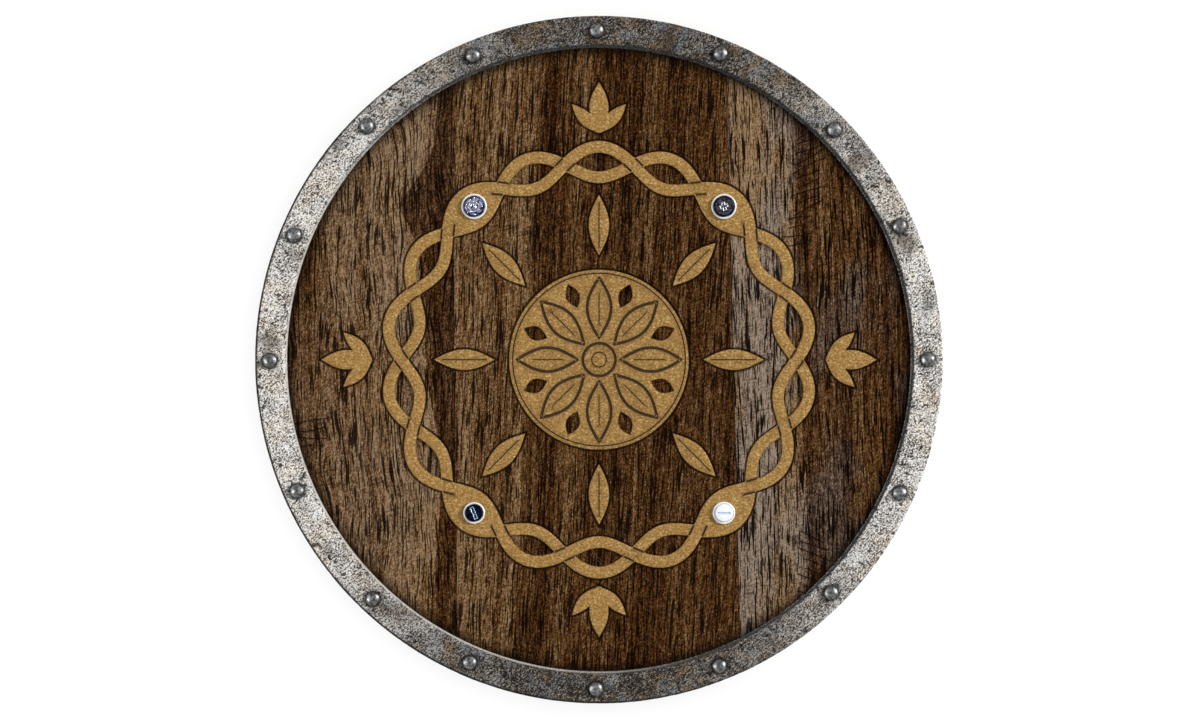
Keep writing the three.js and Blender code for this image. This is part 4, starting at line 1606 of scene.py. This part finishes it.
@dataclass
class Ornament:
    """Brass plates let into the boards, with engraved lines."""

    groove_width: float = 2.9 * MM
    groove_depth: float = 0.6 * MM
    arris: float = 0.7 * MM

    def motifs(self) -> list[Motif]:
        """Every plate's node, edges and openings as functions of growth.

        Returns:
            The plates.
        """
        plates = [
            Motif("inlay_braid_ring", (lambda grow: braid_edge(1, grow),
                                       lambda grow: braid_edge(-1, grow))),
            Motif("inlay_rosette", (lambda grow: ring_outline(ROSETTE_RADIUS + grow),)),
        ]
        for k in range(LEAVES):
            plates.append(Motif(f"inlay_leaf_{k + 1}", (self._leaf_edge(k),)))
        for k, name in enumerate(("right", "top", "left", "bottom")):
            edge = self._palmette_edge(k * QUARTER)
            plates.append(Motif(f"inlay_palmette_{name}", (edge,)))
        return plates

    @staticmethod
    def _leaf_edge(number: int) -> Edge:
        """Edge of one leaf, counted round from +X.

        Args:
            number: which leaf.

        Returns:
            The edge by its growth.
        """
        angle = TURN * number / LEAVES
        start, end, half = LEAF
        return lambda grow: leaf_outline(polar(start, angle), angle, end - start, half, grow)

    @staticmethod
    def _palmette_edge(angle: float) -> Edge:
        """Edge of the palmette in one direction."""
        return lambda grow: palmette_outline(angle, grow)

    def pockets(self) -> list[list[Line]]:
        """Lines of every pocket: arris softened by wear, edge and foot of the wall, with shade painted
        down the wall.

        Returns:
            The lines of each pocket.
        """
        # the marks paint shade on the arris and down the pocket's wall
        steps = ((2.0 * MM, 0.0, 0.0), (1.35 * MM, -0.2 * MM, 0.95), (GAP + 0.1 * MM, -0.4 * MM, 1.0),
                 (GAP, -POCKET_DEPTH, 1.0))
        found = []
        for motif in self.motifs():
            for edge in motif.edges:
                found.append([Line(edge(grow), height, mark) for grow, height, mark in steps])
        return found

    def build(self, shop: Workshop) -> None:
        """Build every plate.

        Args:
            shop: where the pieces are finished.
        """
        for motif in self.motifs():
            edges = [edge(0.0) for edge in motif.edges]
            inner = [edge(-self.arris) for edge in motif.edges]
            # the plate's edges dip a little and carry painted shade
            holes: list[Line] = [Line(points, -0.25 * MM, 0.9) for points in edges[1:]]
            lines: list[Line] = [Line(points) for points in inner]
            for opening in self._openings(motif.node):
                holes.append(Line(opening(0.0), -0.25 * MM, 0.9))
                lines.append(Line(opening(self.arris)))
            lines += self._engraving(motif.node)
            outline = Line(edges[0], -0.25 * MM, 0.9)
            reach = float(np.abs(edges[0]).max())
            scatter = scattered(reach, 5.5 * MM, [outline, *holes, *lines], 1.1 * MM, 31)
            scatter = scatter[inside(scatter, inner[0])]
            relief = Relief(outline, holes, lines, scatter, np.zeros(len(scatter)))
            parts = relief.solid(INLAY_TOP, INLAY_FOOT, 0.12 * MM, 40)
            piece = parts.build(motif.node.replace("inlay_", "brass_"), sharp=35)
            shop.finish(piece, Slot.BRASS, motif.node)
            LOG.info("%s: %d faces", piece.name, len(piece.data.polygons))

    @staticmethod
    def _openings(node: str) -> list[Edge]:
        """Openings of a plate, as functions of growth.

        Args:
            node: CAD node of the plate.

        Returns:
            The openings.
        """
        if node == "inlay_rosette":
            start, end, half = WINDOW
            angles = [TURN * (k + 0.5) / PETALS for k in range(PETALS)]
            return [lambda grow, a=a: leaf_outline(polar(start, a), a, end - start, half, grow)
                    for a in angles]
        if node == "inlay_braid_ring":
            closed = bolt_eyes()
            eyes = [lambda grow, k=k: braid_eye(k, grow) for k in range(BRAID_CROSSINGS)
                    if k not in closed]
            return eyes + [lambda grow, p=place: ring_outline(BOLT_HOLE_RADIUS + grow, 0.9 * MM) + p
                           for _, place in bolt_places()]
        return []

    def _engraving(self, node: str) -> list[Line]:
        """Engraved lines of a plate.

        Args:
            node: CAD node of the plate.

        Returns:
            The lines.
        """
        if node == "inlay_rosette":
            return self._rosette_lines()
        if node == "inlay_braid_ring":
            return self._braid_lines()
        if node.startswith("inlay_leaf"):
            angle = TURN * (int(node[-1]) - 1) / LEAVES
            start, end, _ = LEAF
            rib = polar(np.linspace(start + 9 * MM, end - 9 * MM, 24), angle)
            return groove(rib, 1.1 * MM, 0.35 * MM)
        return []

    def _rosette_lines(self) -> list[Line]:
        """Petal outlines, midribs, a hub and a border.

        Returns:
            The lines.
        """
        lines: list[Line] = []
        for k in range(PETALS):
            angle = TURN * k / PETALS
            petal = leaf_outline(polar(19 * MM, angle), angle, 54 * MM, 10.6 * MM)
            lines += groove(petal, self.groove_width, self.groove_depth, closed=True)
            rib = polar(np.linspace(32 * MM, 58 * MM, 20), angle)
            lines += groove(rib, 1.0 * MM, 0.35 * MM)
        lines += groove(ring_outline(14.5 * MM, 1.0 * MM), self.groove_width, self.groove_depth, True)
        lines += groove(ring_outline(6.5 * MM, 0.8 * MM), 1.2 * MM, 0.4 * MM, True)
        lines += groove(ring_outline(76.6 * MM), 1.2 * MM, 0.4 * MM, True)
        return lines

    def _braid_lines(self) -> list[Line]:
        """Where one strand passes over the other, the upper strand's two edges.

        Returns:
            The lines.
        """
        lines: list[Line] = []
        phase = np.linspace(-0.85, 0.85, 44)
        for k in range(BRAID_CROSSINGS):
            over = 1 if k % 2 == 0 else -1
            turn = k * TURN / BRAID_CROSSINGS
            radius = BRAID_RADIUS + over * BRAID_SWING * np.sin(phase)
            slope = over * BRAID_SWING * BRAID_CROSSINGS / 2 * np.cos(phase)
            angle = 2 * phase / BRAID_CROSSINGS
            for side in (-1, 1):
                stretch = side * BRAID_HALF_WIDTH / np.hypot(radius, slope)
                path = polar(radius * (1 + stretch), angle) + polar(-slope * stretch, angle + QUARTER)
                other = np.arctan2(path[:, 1], path[:, 0]) * BRAID_CROSSINGS / 2
                across = BRAID_RADIUS - over * BRAID_SWING * np.sin(other)
                band = np.abs(np.linalg.norm(path, axis=1) - across) < strand_half(other) - 0.9 * MM
                if band.sum() > 3:
                    spin = np.array([[math.cos(turn), math.sin(turn)], [-math.sin(turn), math.cos(turn)]])
                    lines += groove(path[band] @ spin, 2.0 * MM, self.groove_depth)
        return lines


def rivet_names() -> list[str]:
    """CAD nodes of the rivets, in order round the rim."""
    return sorted(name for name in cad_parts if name.startswith("rivet_"))


@dataclass
class Rivets:
    """Sixteen domed rivets, each a little different."""

    segments: int = 40

    def build(self, shop: Workshop, rivets: bpy.types.Collection) -> None:
        """Build each rivet over its CAD node.

        Args:
            shop: where the pieces are finished.
            rivets: collection that the rivets are lit in.
        """
        for number, name in enumerate(rivet_names()):
            low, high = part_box(name)
            place = plan_centre(low, high)
            radius = (high[1] - low[1]) / 2
            foot = RING_TOP + GAP
            rise = high[2] - foot
            lean = np.linspace(0, QUARTER, 14)
            dome = np.column_stack([radius * np.cos(lean) ** 0.9, foot + rise * np.sin(lean)])
            dome[-1, 0] = 0
            tail_foot = low[2]
            tail = np.array([[0, tail_foot], [2.2 * MM, tail_foot + 0.15 * MM],
                             [4.2 * MM, tail_foot + 0.9 * MM], [4.8 * MM, BACK_Z - GAP],
                             [3 * MM, BACK_Z - GAP], [3 * MM, foot - 0.2 * MM],
                             [radius * 0.96, foot - 0.25 * MM]])
            body = turned(np.vstack([tail, dome]), self.segments)
            dent = 0.12 * MM * (1 - value_noise(body + number, 3.4 * MM, 60 + number)) / 2
            away = np.column_stack([body[:, :2], body[:, 2] - foot])
            length = np.maximum(np.linalg.norm(away, axis=1), 1e-9)
            body -= away / length[:, None] * dent[:, None] * (body[:, 2] > foot - 0.5 * MM)[:, None]
            body[:, :2] += place
            parts = MeshParts()
            # painted shade: dark on the tail at the board, under the head, and round the dome's foot
            edge = np.clip(1.2 - lean / 0.55, 0, 1)
            marks = np.concatenate([[0, 0, 0.25, 0.9, 1, 1, 1], edge])
            parts.add(body, grid_faces(len(tail) + len(dome), self.segments, wrap=True),
                      np.repeat(marks, self.segments))
            rivet = parts.build(f"domed_{name}", sharp=50)
            shop.finish(rivet, Slot.RIVET, name)
            rivets.objects.link(rivet)


class Recess(Enum):
    """What a screwdriver or key fits in a bolt's head."""

    HEXAGON = "hexagon"
    CROSS = "cross"
    SLOT = "slot"


@dataclass(frozen=True)
class BoltSpec:
    """One bolt's head: its recess, the recess's turn from +X, and its finish."""

    place: str
    recess: Recess
    turn: float
    slot: Slot
    material: str = ""
    slot_half: float = 0.16


BOLTS = (
    BoltSpec("upper_left", Recess.HEXAGON, 0.2, Slot.CHROME),
    BoltSpec("upper_right", Recess.CROSS, 0.3, Slot.DARK_STEEL),
    BoltSpec("lower_left", Recess.SLOT, -1.18, Slot.DARK_STEEL, "blued_steel"),
    BoltSpec("lower_right", Recess.SLOT, 0.0, Slot.CHROME, "white_chrome", 0.06),
)


@dataclass
class Bolts:
    """Bolts, cup washers, and the washers and nuts behind."""

    segments: int = 96
    rings: int = 34
    shank: float = 3 * MM
    head_height: float = 3 * MM
    recess_depth: float = 1.5 * MM
    lip: float = 0.85 * MM

    def build(self, shop: Workshop) -> None:
        """Build the four bolts with all that is on them.

        Args:
            shop: where the pieces are finished.
        """
        centres = dict(bolt_places())
        for spec in BOLTS:
            centre = centres[spec.place]
            self._head(shop, spec, centre)
            self._cup(shop, spec.place, centre)
            self._back(shop, spec.place, centre)

    def _head(self, shop: Workshop, spec: BoltSpec, centre: np.ndarray) -> None:
        """Crowned head with a sunk recess, on a plain shank.

        Args:
            shop: where the pieces are finished.
            spec: the bolt.
            centre: plan place of the bolt's axis.
        """
        low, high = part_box(f"bolt_{spec.place}")
        radius = (high[1] - low[1]) / 2
        top = high[2]
        foot = top - self.head_height
        rings = np.linspace(0, 1, self.rings) * radius
        angles = np.arange(self.segments) * TURN / self.segments
        flat = polar(rings[:, None], angles[None, :]).reshape(-1, 2)
        share = np.linalg.norm(flat, axis=1) / radius
        height = top - 0.4 * MM * share ** 2 - 1.0 * MM * np.clip((share - 0.86) / 0.14, 0, 1) ** 2
        height -= self.recess_depth * self._recess(spec, flat, radius, 0.06)
        rim = self._recess(spec, flat, radius, 0.24)
        face = np.column_stack([flat, height])
        # painted shade round the head's edge and on the recess walls, with a painted highlight between
        ring = np.clip((share - 0.8) / 0.06, 0, 1) * (spec.material != "white_chrome")
        marks = np.maximum(ring, 8 * rim * (1 - rim))[::-1].reshape(self.rings, -1)[:, ::-1]
        shank = np.array([[0, low[2]], [self.shank - 0.5 * MM, low[2]], [self.shank, low[2] + 0.6 * MM],
                          [self.shank, foot], [radius, foot], [radius, top - 1.45 * MM]])
        cap = face[::-1].reshape(self.rings, -1, 3)[:, ::-1].reshape(-1, 3)
        body = np.vstack([turned(shank, self.segments), cap])
        marks = np.concatenate([np.zeros(len(shank) * self.segments), marks.ravel()])
        parts = MeshParts()
        body[:, :2] += centre
        parts.add(body, grid_faces(len(shank) + self.rings, self.segments, wrap=True), marks)
        head = parts.build(f"bolt_head_{spec.place}", sharp=40)
        shop.finish(head, spec.slot, f"bolt_{spec.place}", material=spec.material)

    @staticmethod
    def _recess(spec: BoltSpec, flat: np.ndarray, radius: float, wall: float) -> np.ndarray:
        """How far into the recess each point is, 0 outside and 1 on its floor.

        Args:
            spec: the bolt.
            flat: plan places from the bolt's axis.
            radius: the head's radius.
            wall: width of the sloping wall, as a share of the radius.

        Returns:
            One share per point.
        """
        turn = np.array([[math.cos(spec.turn), -math.sin(spec.turn)],
                         [math.sin(spec.turn), math.cos(spec.turn)]])
        x, y = (flat @ turn / radius).T

        def box(a: np.ndarray, b: np.ndarray, long: float, narrow: float) -> np.ndarray:
            """Share inside a long box that reaches both ways from the axis."""
            gap = np.minimum(long - np.abs(a), narrow - np.abs(b))
            return np.clip(gap / wall + 0.5, 0, 1)

        if spec.recess is Recess.SLOT:
            return box(x, y, 0.7, spec.slot_half)
        if spec.recess is Recess.CROSS:
            return np.maximum(box(x, y, 0.36, 0.12), box(y, x, 0.36, 0.12))
        angle = np.mod(np.arctan2(y, x), TURN / 6) - TURN / 12
        return np.clip((0.45 - np.hypot(x, y) * np.cos(angle)) / wall + 0.5, 0, 1)

    def _cup(self, shop: Workshop, place: str, centre: np.ndarray) -> None:
        """Cup washer with a rolled bright lip.

        Args:
            shop: where the pieces are finished.
            place: which bolt it belongs to.
            centre: plan place of the bolt's axis.
        """
        low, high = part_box(f"cup_washer_{place}")
        radius = (high[1] - low[1]) / 2
        foot, top = low[2], high[2]
        arc = np.linspace(-0.2, math.pi + 0.35, 12)
        lip = np.column_stack([radius - self.lip + self.lip * np.cos(arc),
                               top - self.lip + self.lip * np.sin(arc)])
        profile = np.vstack([[[BOLT_HOLE_RADIUS, foot], [radius - 0.4 * MM, foot]], lip,
                             [[radius - 1.75 * MM, foot + 1 * MM], [BOLT_HOLE_RADIUS, foot + 1 * MM]]])
        cup = self._washer(profile, centre).build(f"cup_{place}", sharp=45)
        shop.finish(cup, Slot.BRIGHT_STEEL, f"cup_washer_{place}")

    def _washer(self, profile: np.ndarray, centre: np.ndarray) -> MeshParts:
        """A ring of a given section round a bolt's axis."""
        parts = MeshParts()
        faces = grid_faces(len(profile), self.segments, wrap=True, wrap_rows=True)
        parts.add(turned(profile, self.segments, centre), faces)
        return parts

    def _back(self, shop: Workshop, place: str, centre: np.ndarray) -> None:
        """Washer and chamfered nut behind the strap.

        Args:
            shop: where the pieces are finished.
            place: which bolt they belong to.
            centre: plan place of the bolt's axis.
        """
        low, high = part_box(f"back_washer_{place}")
        radius = (high[1] - low[1]) / 2
        soft = 0.3 * MM
        profile = np.array([[BOLT_HOLE_RADIUS, low[2]], [radius - soft, low[2]],
                            [radius, low[2] + soft], [radius, high[2] - soft],
                            [radius - soft, high[2]], [BOLT_HOLE_RADIUS, high[2]]])
        washer = self._washer(profile, centre).build(f"washer_{place}")
        shop.finish(washer, Slot.BRIGHT_STEEL, f"back_washer_{place}", material="zinc_steel")
        low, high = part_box(f"nut_{place}")
        corner = (high[1] - low[1]) / 2
        angles = np.arange(self.segments) * TURN / self.segments
        flat = corner * math.cos(TURN / 12) / np.cos(np.mod(angles + TURN / 12, TURN / 6) - TURN / 12)
        rows = []
        edge = 0.5 * MM
        for z, limit in ((low[2], 0.9), (low[2] + edge, 1.0), (high[2] - edge, 1.0), (high[2], 0.9)):
            rows.append(np.column_stack([polar(np.minimum(flat, corner * limit), angles),
                                         np.full(len(angles), z)]))
        bore = polar(BOLT_HOLE_RADIUS, angles)
        rows.insert(0, np.column_stack([bore, np.full(len(angles), low[2])]))
        rows.append(np.column_stack([bore, np.full(len(angles), high[2])]))
        body = np.vstack(rows)
        body[:, :2] += centre
        parts = MeshParts()
        # painted shade: darker round the bore and up the sides towards the washer
        marks = np.repeat([0.4, 0.0, 0.6, 1.0, 1.0, 1.0], self.segments)
        parts.add(body, grid_faces(len(rows), self.segments, wrap=True, wrap_rows=True), marks)
        nut = parts.build(f"hex_nut_{place}")
        shop.finish(nut, Slot.BRIGHT_STEEL, f"nut_{place}", material="zinc_steel")


@dataclass
class Straps:
    """Two leather straps that hang low between their bolts."""

    rows: int = 150
    section: int = 28
    thickness: float = 4 * MM
    flat_end: float = 42 * MM

    def build(self, shop: Workshop) -> None:
        """Build both straps with their stitching.

        Args:
            shop: where the pieces are finished.
        """
        for node in ("arm_strap", "hand_grip"):
            low, high = (np.array(corner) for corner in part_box(node))
            self._strap(shop, node, low, high)

    def _top(self, y: np.ndarray, reach: float, low: float, high: float) -> np.ndarray:
        """Height of the strap's upper side: flat at the bolts, (1 - s^4)^2 of the drop between."""
        share = np.clip(np.abs(y) / reach, 0, 1)
        return high - (high - low - self.thickness) * (1 - share ** 4) ** 2

    def _strap(self, shop: Workshop, node: str, low: np.ndarray, high: np.ndarray) -> None:
        """One band with soft edges and round ends.

        Args:
            shop: where the pieces are finished.
            node: CAD node of the strap.
            low: low corner of its box.
            high: high corner of its box.
        """
        half = (high[0] - low[0]) / 2
        centre = (high[0] + low[0]) / 2
        end = high[1]
        reach = end - self.flat_end
        y = end * np.sin(np.linspace(-QUARTER, QUARTER, self.rows))
        straight = end - half
        over = np.clip(np.abs(y) - straight, 0, half)
        width = np.sqrt(np.maximum(half ** 2 - over ** 2, 0))
        top = self._top(y, reach, low[2], high[2])
        angle = np.arange(self.section) * TURN / self.section
        corner = np.sign(np.cos(angle)) * np.abs(np.cos(angle)) ** 0.28
        lift = np.sign(np.sin(angle)) * np.abs(np.sin(angle)) ** 0.42
        thick = self.thickness * np.clip(width / self.thickness, 0.0, 1) ** 0.5
        x = centre + corner[None, :] * width[:, None]
        z = top[:, None] - self.thickness / 2 + lift[None, :] * thick[:, None] / 2
        body = np.stack([x, np.broadcast_to(y[:, None], x.shape), z], axis=-1).reshape(-1, 3)
        body[:, 2] += 0.15 * MM * (value_noise(body, 9 * MM, 71) - 1) * 0.5
        parts = MeshParts()
        parts.add(body, grid_faces(self.rows, self.section, wrap=True)[:, ::-1])
        piece = parts.build(f"leather_{node}", sharp=60)
        shop.finish(piece, Slot.LEATHER, node)
        self._stitches(shop, node, centre, half, end, reach, low[2], high[2])

    def _stitches(self, shop: Workshop, node: str, centre: float, half: float, end: float,
                  reach: float, low: float, high: float) -> None:
        """Two rows of stitches along the strap's outer side.

        Args:
            shop: where the pieces are finished.
            node: CAD node of the strap.
            centre: x of its middle.
            half: half its width.
            end: y of its end.
            reach: y where its flat end begins.
            low: its lowest z.
            high: its highest z.
        """
        span = np.arange(-end + 30 * MM, end - 30 * MM, 6.5 * MM)
        share = np.linspace(-1, 1, 7)
        angle = np.arange(8) * TURN / 8
        parts = MeshParts()
        for side in (-1, 1):
            for middle in span:
                y = middle + share * 2.2 * MM
                bottom = self._top(y, reach, low, high) - self.thickness
                radius = 0.55 * MM * np.sqrt(np.maximum(1 - share ** 2, 0.02))
                x = centre + side * (half - 4.5 * MM) + radius[:, None] * np.cos(angle)
                z = (bottom + 0.05 * MM)[:, None] + radius[:, None] * np.sin(angle) * 0.8
                body = np.stack([x, np.broadcast_to(y[:, None], x.shape), z], axis=-1).reshape(-1, 3)
                parts.add(body, grid_faces(len(share), len(angle), wrap=True)[:, ::-1])
        piece = parts.build(f"{node}_stitching", sharp=80)
        shop.finish(piece, Slot.LEATHER, material="thread")


# ---------------------------------------------------------------- floor, light and camera


@dataclass
class Studio:
    """Pale floor, soft light and a camera looking straight down."""

    share_of_height: float = 0.9564
    aspect: float = 1200 / 720
    lens: float = 100.0
    sensor: float = 36.0
    camera_shift: tuple[float, float] = (0.9 * MM, -0.3 * MM)
    sky: float = 0.46

    def build(self, lit: bpy.types.Collection, rivets: bpy.types.Collection) -> None:
        """Build everything that isn't the object.

        Args:
            lit: the object's pieces, which the key and fill light.
            rivets: the rivets, which get a fill of their own.
        """
        scene = bpy.context.scene
        scene.view_settings.view_transform = "Standard"
        ground = new_collection("ground")
        self._floor(ground)
        self._world(scene)
        self._sun("key", 3.3, azimuth=20, height=29, angle=11, receivers=lit)
        self._sun("fill", 0.75, azimuth=186, height=28, angle=14, receivers=lit)
        self._sun("rivet_fill", 1.6, azimuth=188, height=36, angle=12, receivers=rivets)
        self._sun("floor_light", 2.1, azimuth=90, height=90, angle=5, receivers=ground, blockers=ground)
        self._camera(scene)

    @staticmethod
    def _floor(ground: bpy.types.Collection) -> None:
        """A wide pale floor under the shield.

        Args:
            ground: collection of what isn't the object.
        """
        side = 6.0
        mesh = bpy.data.meshes.new("floor")
        corners = [(-side, -side, 0), (side, -side, 0), (side, side, 0), (-side, side, 0)]
        mesh.from_pydata(corners, [], [(0, 1, 2, 3)])
        floor = bpy.data.objects.new("floor", mesh)
        ground.objects.link(floor)
        material, g, shader = new_material("floor")
        colour = g.mix(g.noise(g.place(), 3.0), (0.97, 0.97, 0.97, 1), (0.99, 0.99, 0.99, 1))
        g.fill(shader, {"Base Color": colour, "Roughness": 0.9, "Specular IOR Level": 0.0})
        mesh.materials.append(material)

    def _world(self, scene: bpy.types.Scene) -> None:
        """Even white light from all round.

        Args:
            scene: the scene.
        """
        world = bpy.data.worlds.new("studio")
        scene.world = world
        world.use_nodes = True
        background = world.node_tree.nodes["Background"]
        Graph(world.node_tree).fill(background, {"Color": (1.0, 1.0, 1.0, 1.0), "Strength": self.sky})

    @staticmethod
    def _sun(name: str, strength: float, azimuth: float, height: float, angle: float,
             receivers: bpy.types.Collection, blockers: bpy.types.Collection | None = None) -> None:
        """An even soft light from one side.

        Args:
            name: name of the lamp.
            strength: light on a surface that faces it.
            azimuth: where it stands round the shield, in degrees from +X.
            height: how high it stands, in degrees.
            angle: how wide it looks from the shield, in degrees.
            receivers: what it lights.
            blockers: what shades it; everything when left out.
        """
        data = bpy.data.lights.new(name, "SUN")
        data.energy = strength
        data.angle = math.radians(angle)
        lamp = bpy.data.objects.new(name, data)
        around, up = math.radians(azimuth), math.radians(height)
        place = Vector((math.cos(around) * math.cos(up), math.sin(around) * math.cos(up), math.sin(up)))
        lamp.location = place * 2
        lamp.rotation_euler = place.to_track_quat("Z", "Y").to_euler()
        lamp.light_linking.receiver_collection = receivers
        if blockers is not None:
            lamp.light_linking.blocker_collection = blockers
        bpy.context.scene.collection.objects.link(lamp)

    def _camera(self, scene: bpy.types.Scene) -> None:
        """Straight above the middle, framing the shield as wide as it should stand.

        Args:
            scene: the scene.
        """
        data = bpy.data.cameras.new("camera")
        data.lens = self.lens
        data.sensor_width = self.sensor
        width = 2 * SHIELD_RADIUS / self.share_of_height * self.aspect
        camera = bpy.data.objects.new("camera", data)
        camera.location = (*self.camera_shift, RING_TOP + width * self.lens / self.sensor)
        scene.collection.objects.link(camera)
        scene.camera = camera


# ---------------------------------------------------------------- putting it together


def new_collection(name: str) -> bpy.types.Collection:
    """A collection linked to the scene.

    Args:
        name: its name.

    Returns:
        The collection.
    """
    collection = bpy.data.collections.new(name)
    bpy.context.scene.collection.children.link(collection)
    return collection


def make_materials(groups: Groups) -> dict[str, bpy.types.Material]:
    """Every material by its name.

    Args:
        groups: the shared node groups.

    Returns:
        Name to material.
    """
    made = [
        iron_material(groups), brass_material(groups), leather_material(groups),
        thread_material(),
        *(wood_material(finish, groups) for finish in (LEFT_BOARD, MIDDLE_BOARD, RIGHT_BOARD)),
        *(metal_material(finish, groups) for finish in METALS),
    ]
    return {material.name.removesuffix(FINISH_MARK): material for material in made}


def main() -> None:
    """Build the shield's pieces, then the studio."""
    logging.basicConfig(level=logging.INFO)
    groups = Groups(grain_group(), scratch_group(), radial_group(), grit_group())
    lit = new_collection("lit_pieces")
    rivets = new_collection("rivets")
    shop = Workshop(make_materials(groups), lit)
    ornament = Ornament()
    IronRim().build(shop)
    Boards().build(shop, ornament.pockets())
    ornament.build(shop)
    Rivets().build(shop, rivets)
    Bolts().build(shop)
    Straps().build(shop)
    Studio().build(lit, rivets)


if __name__ == "__main__":
    main()
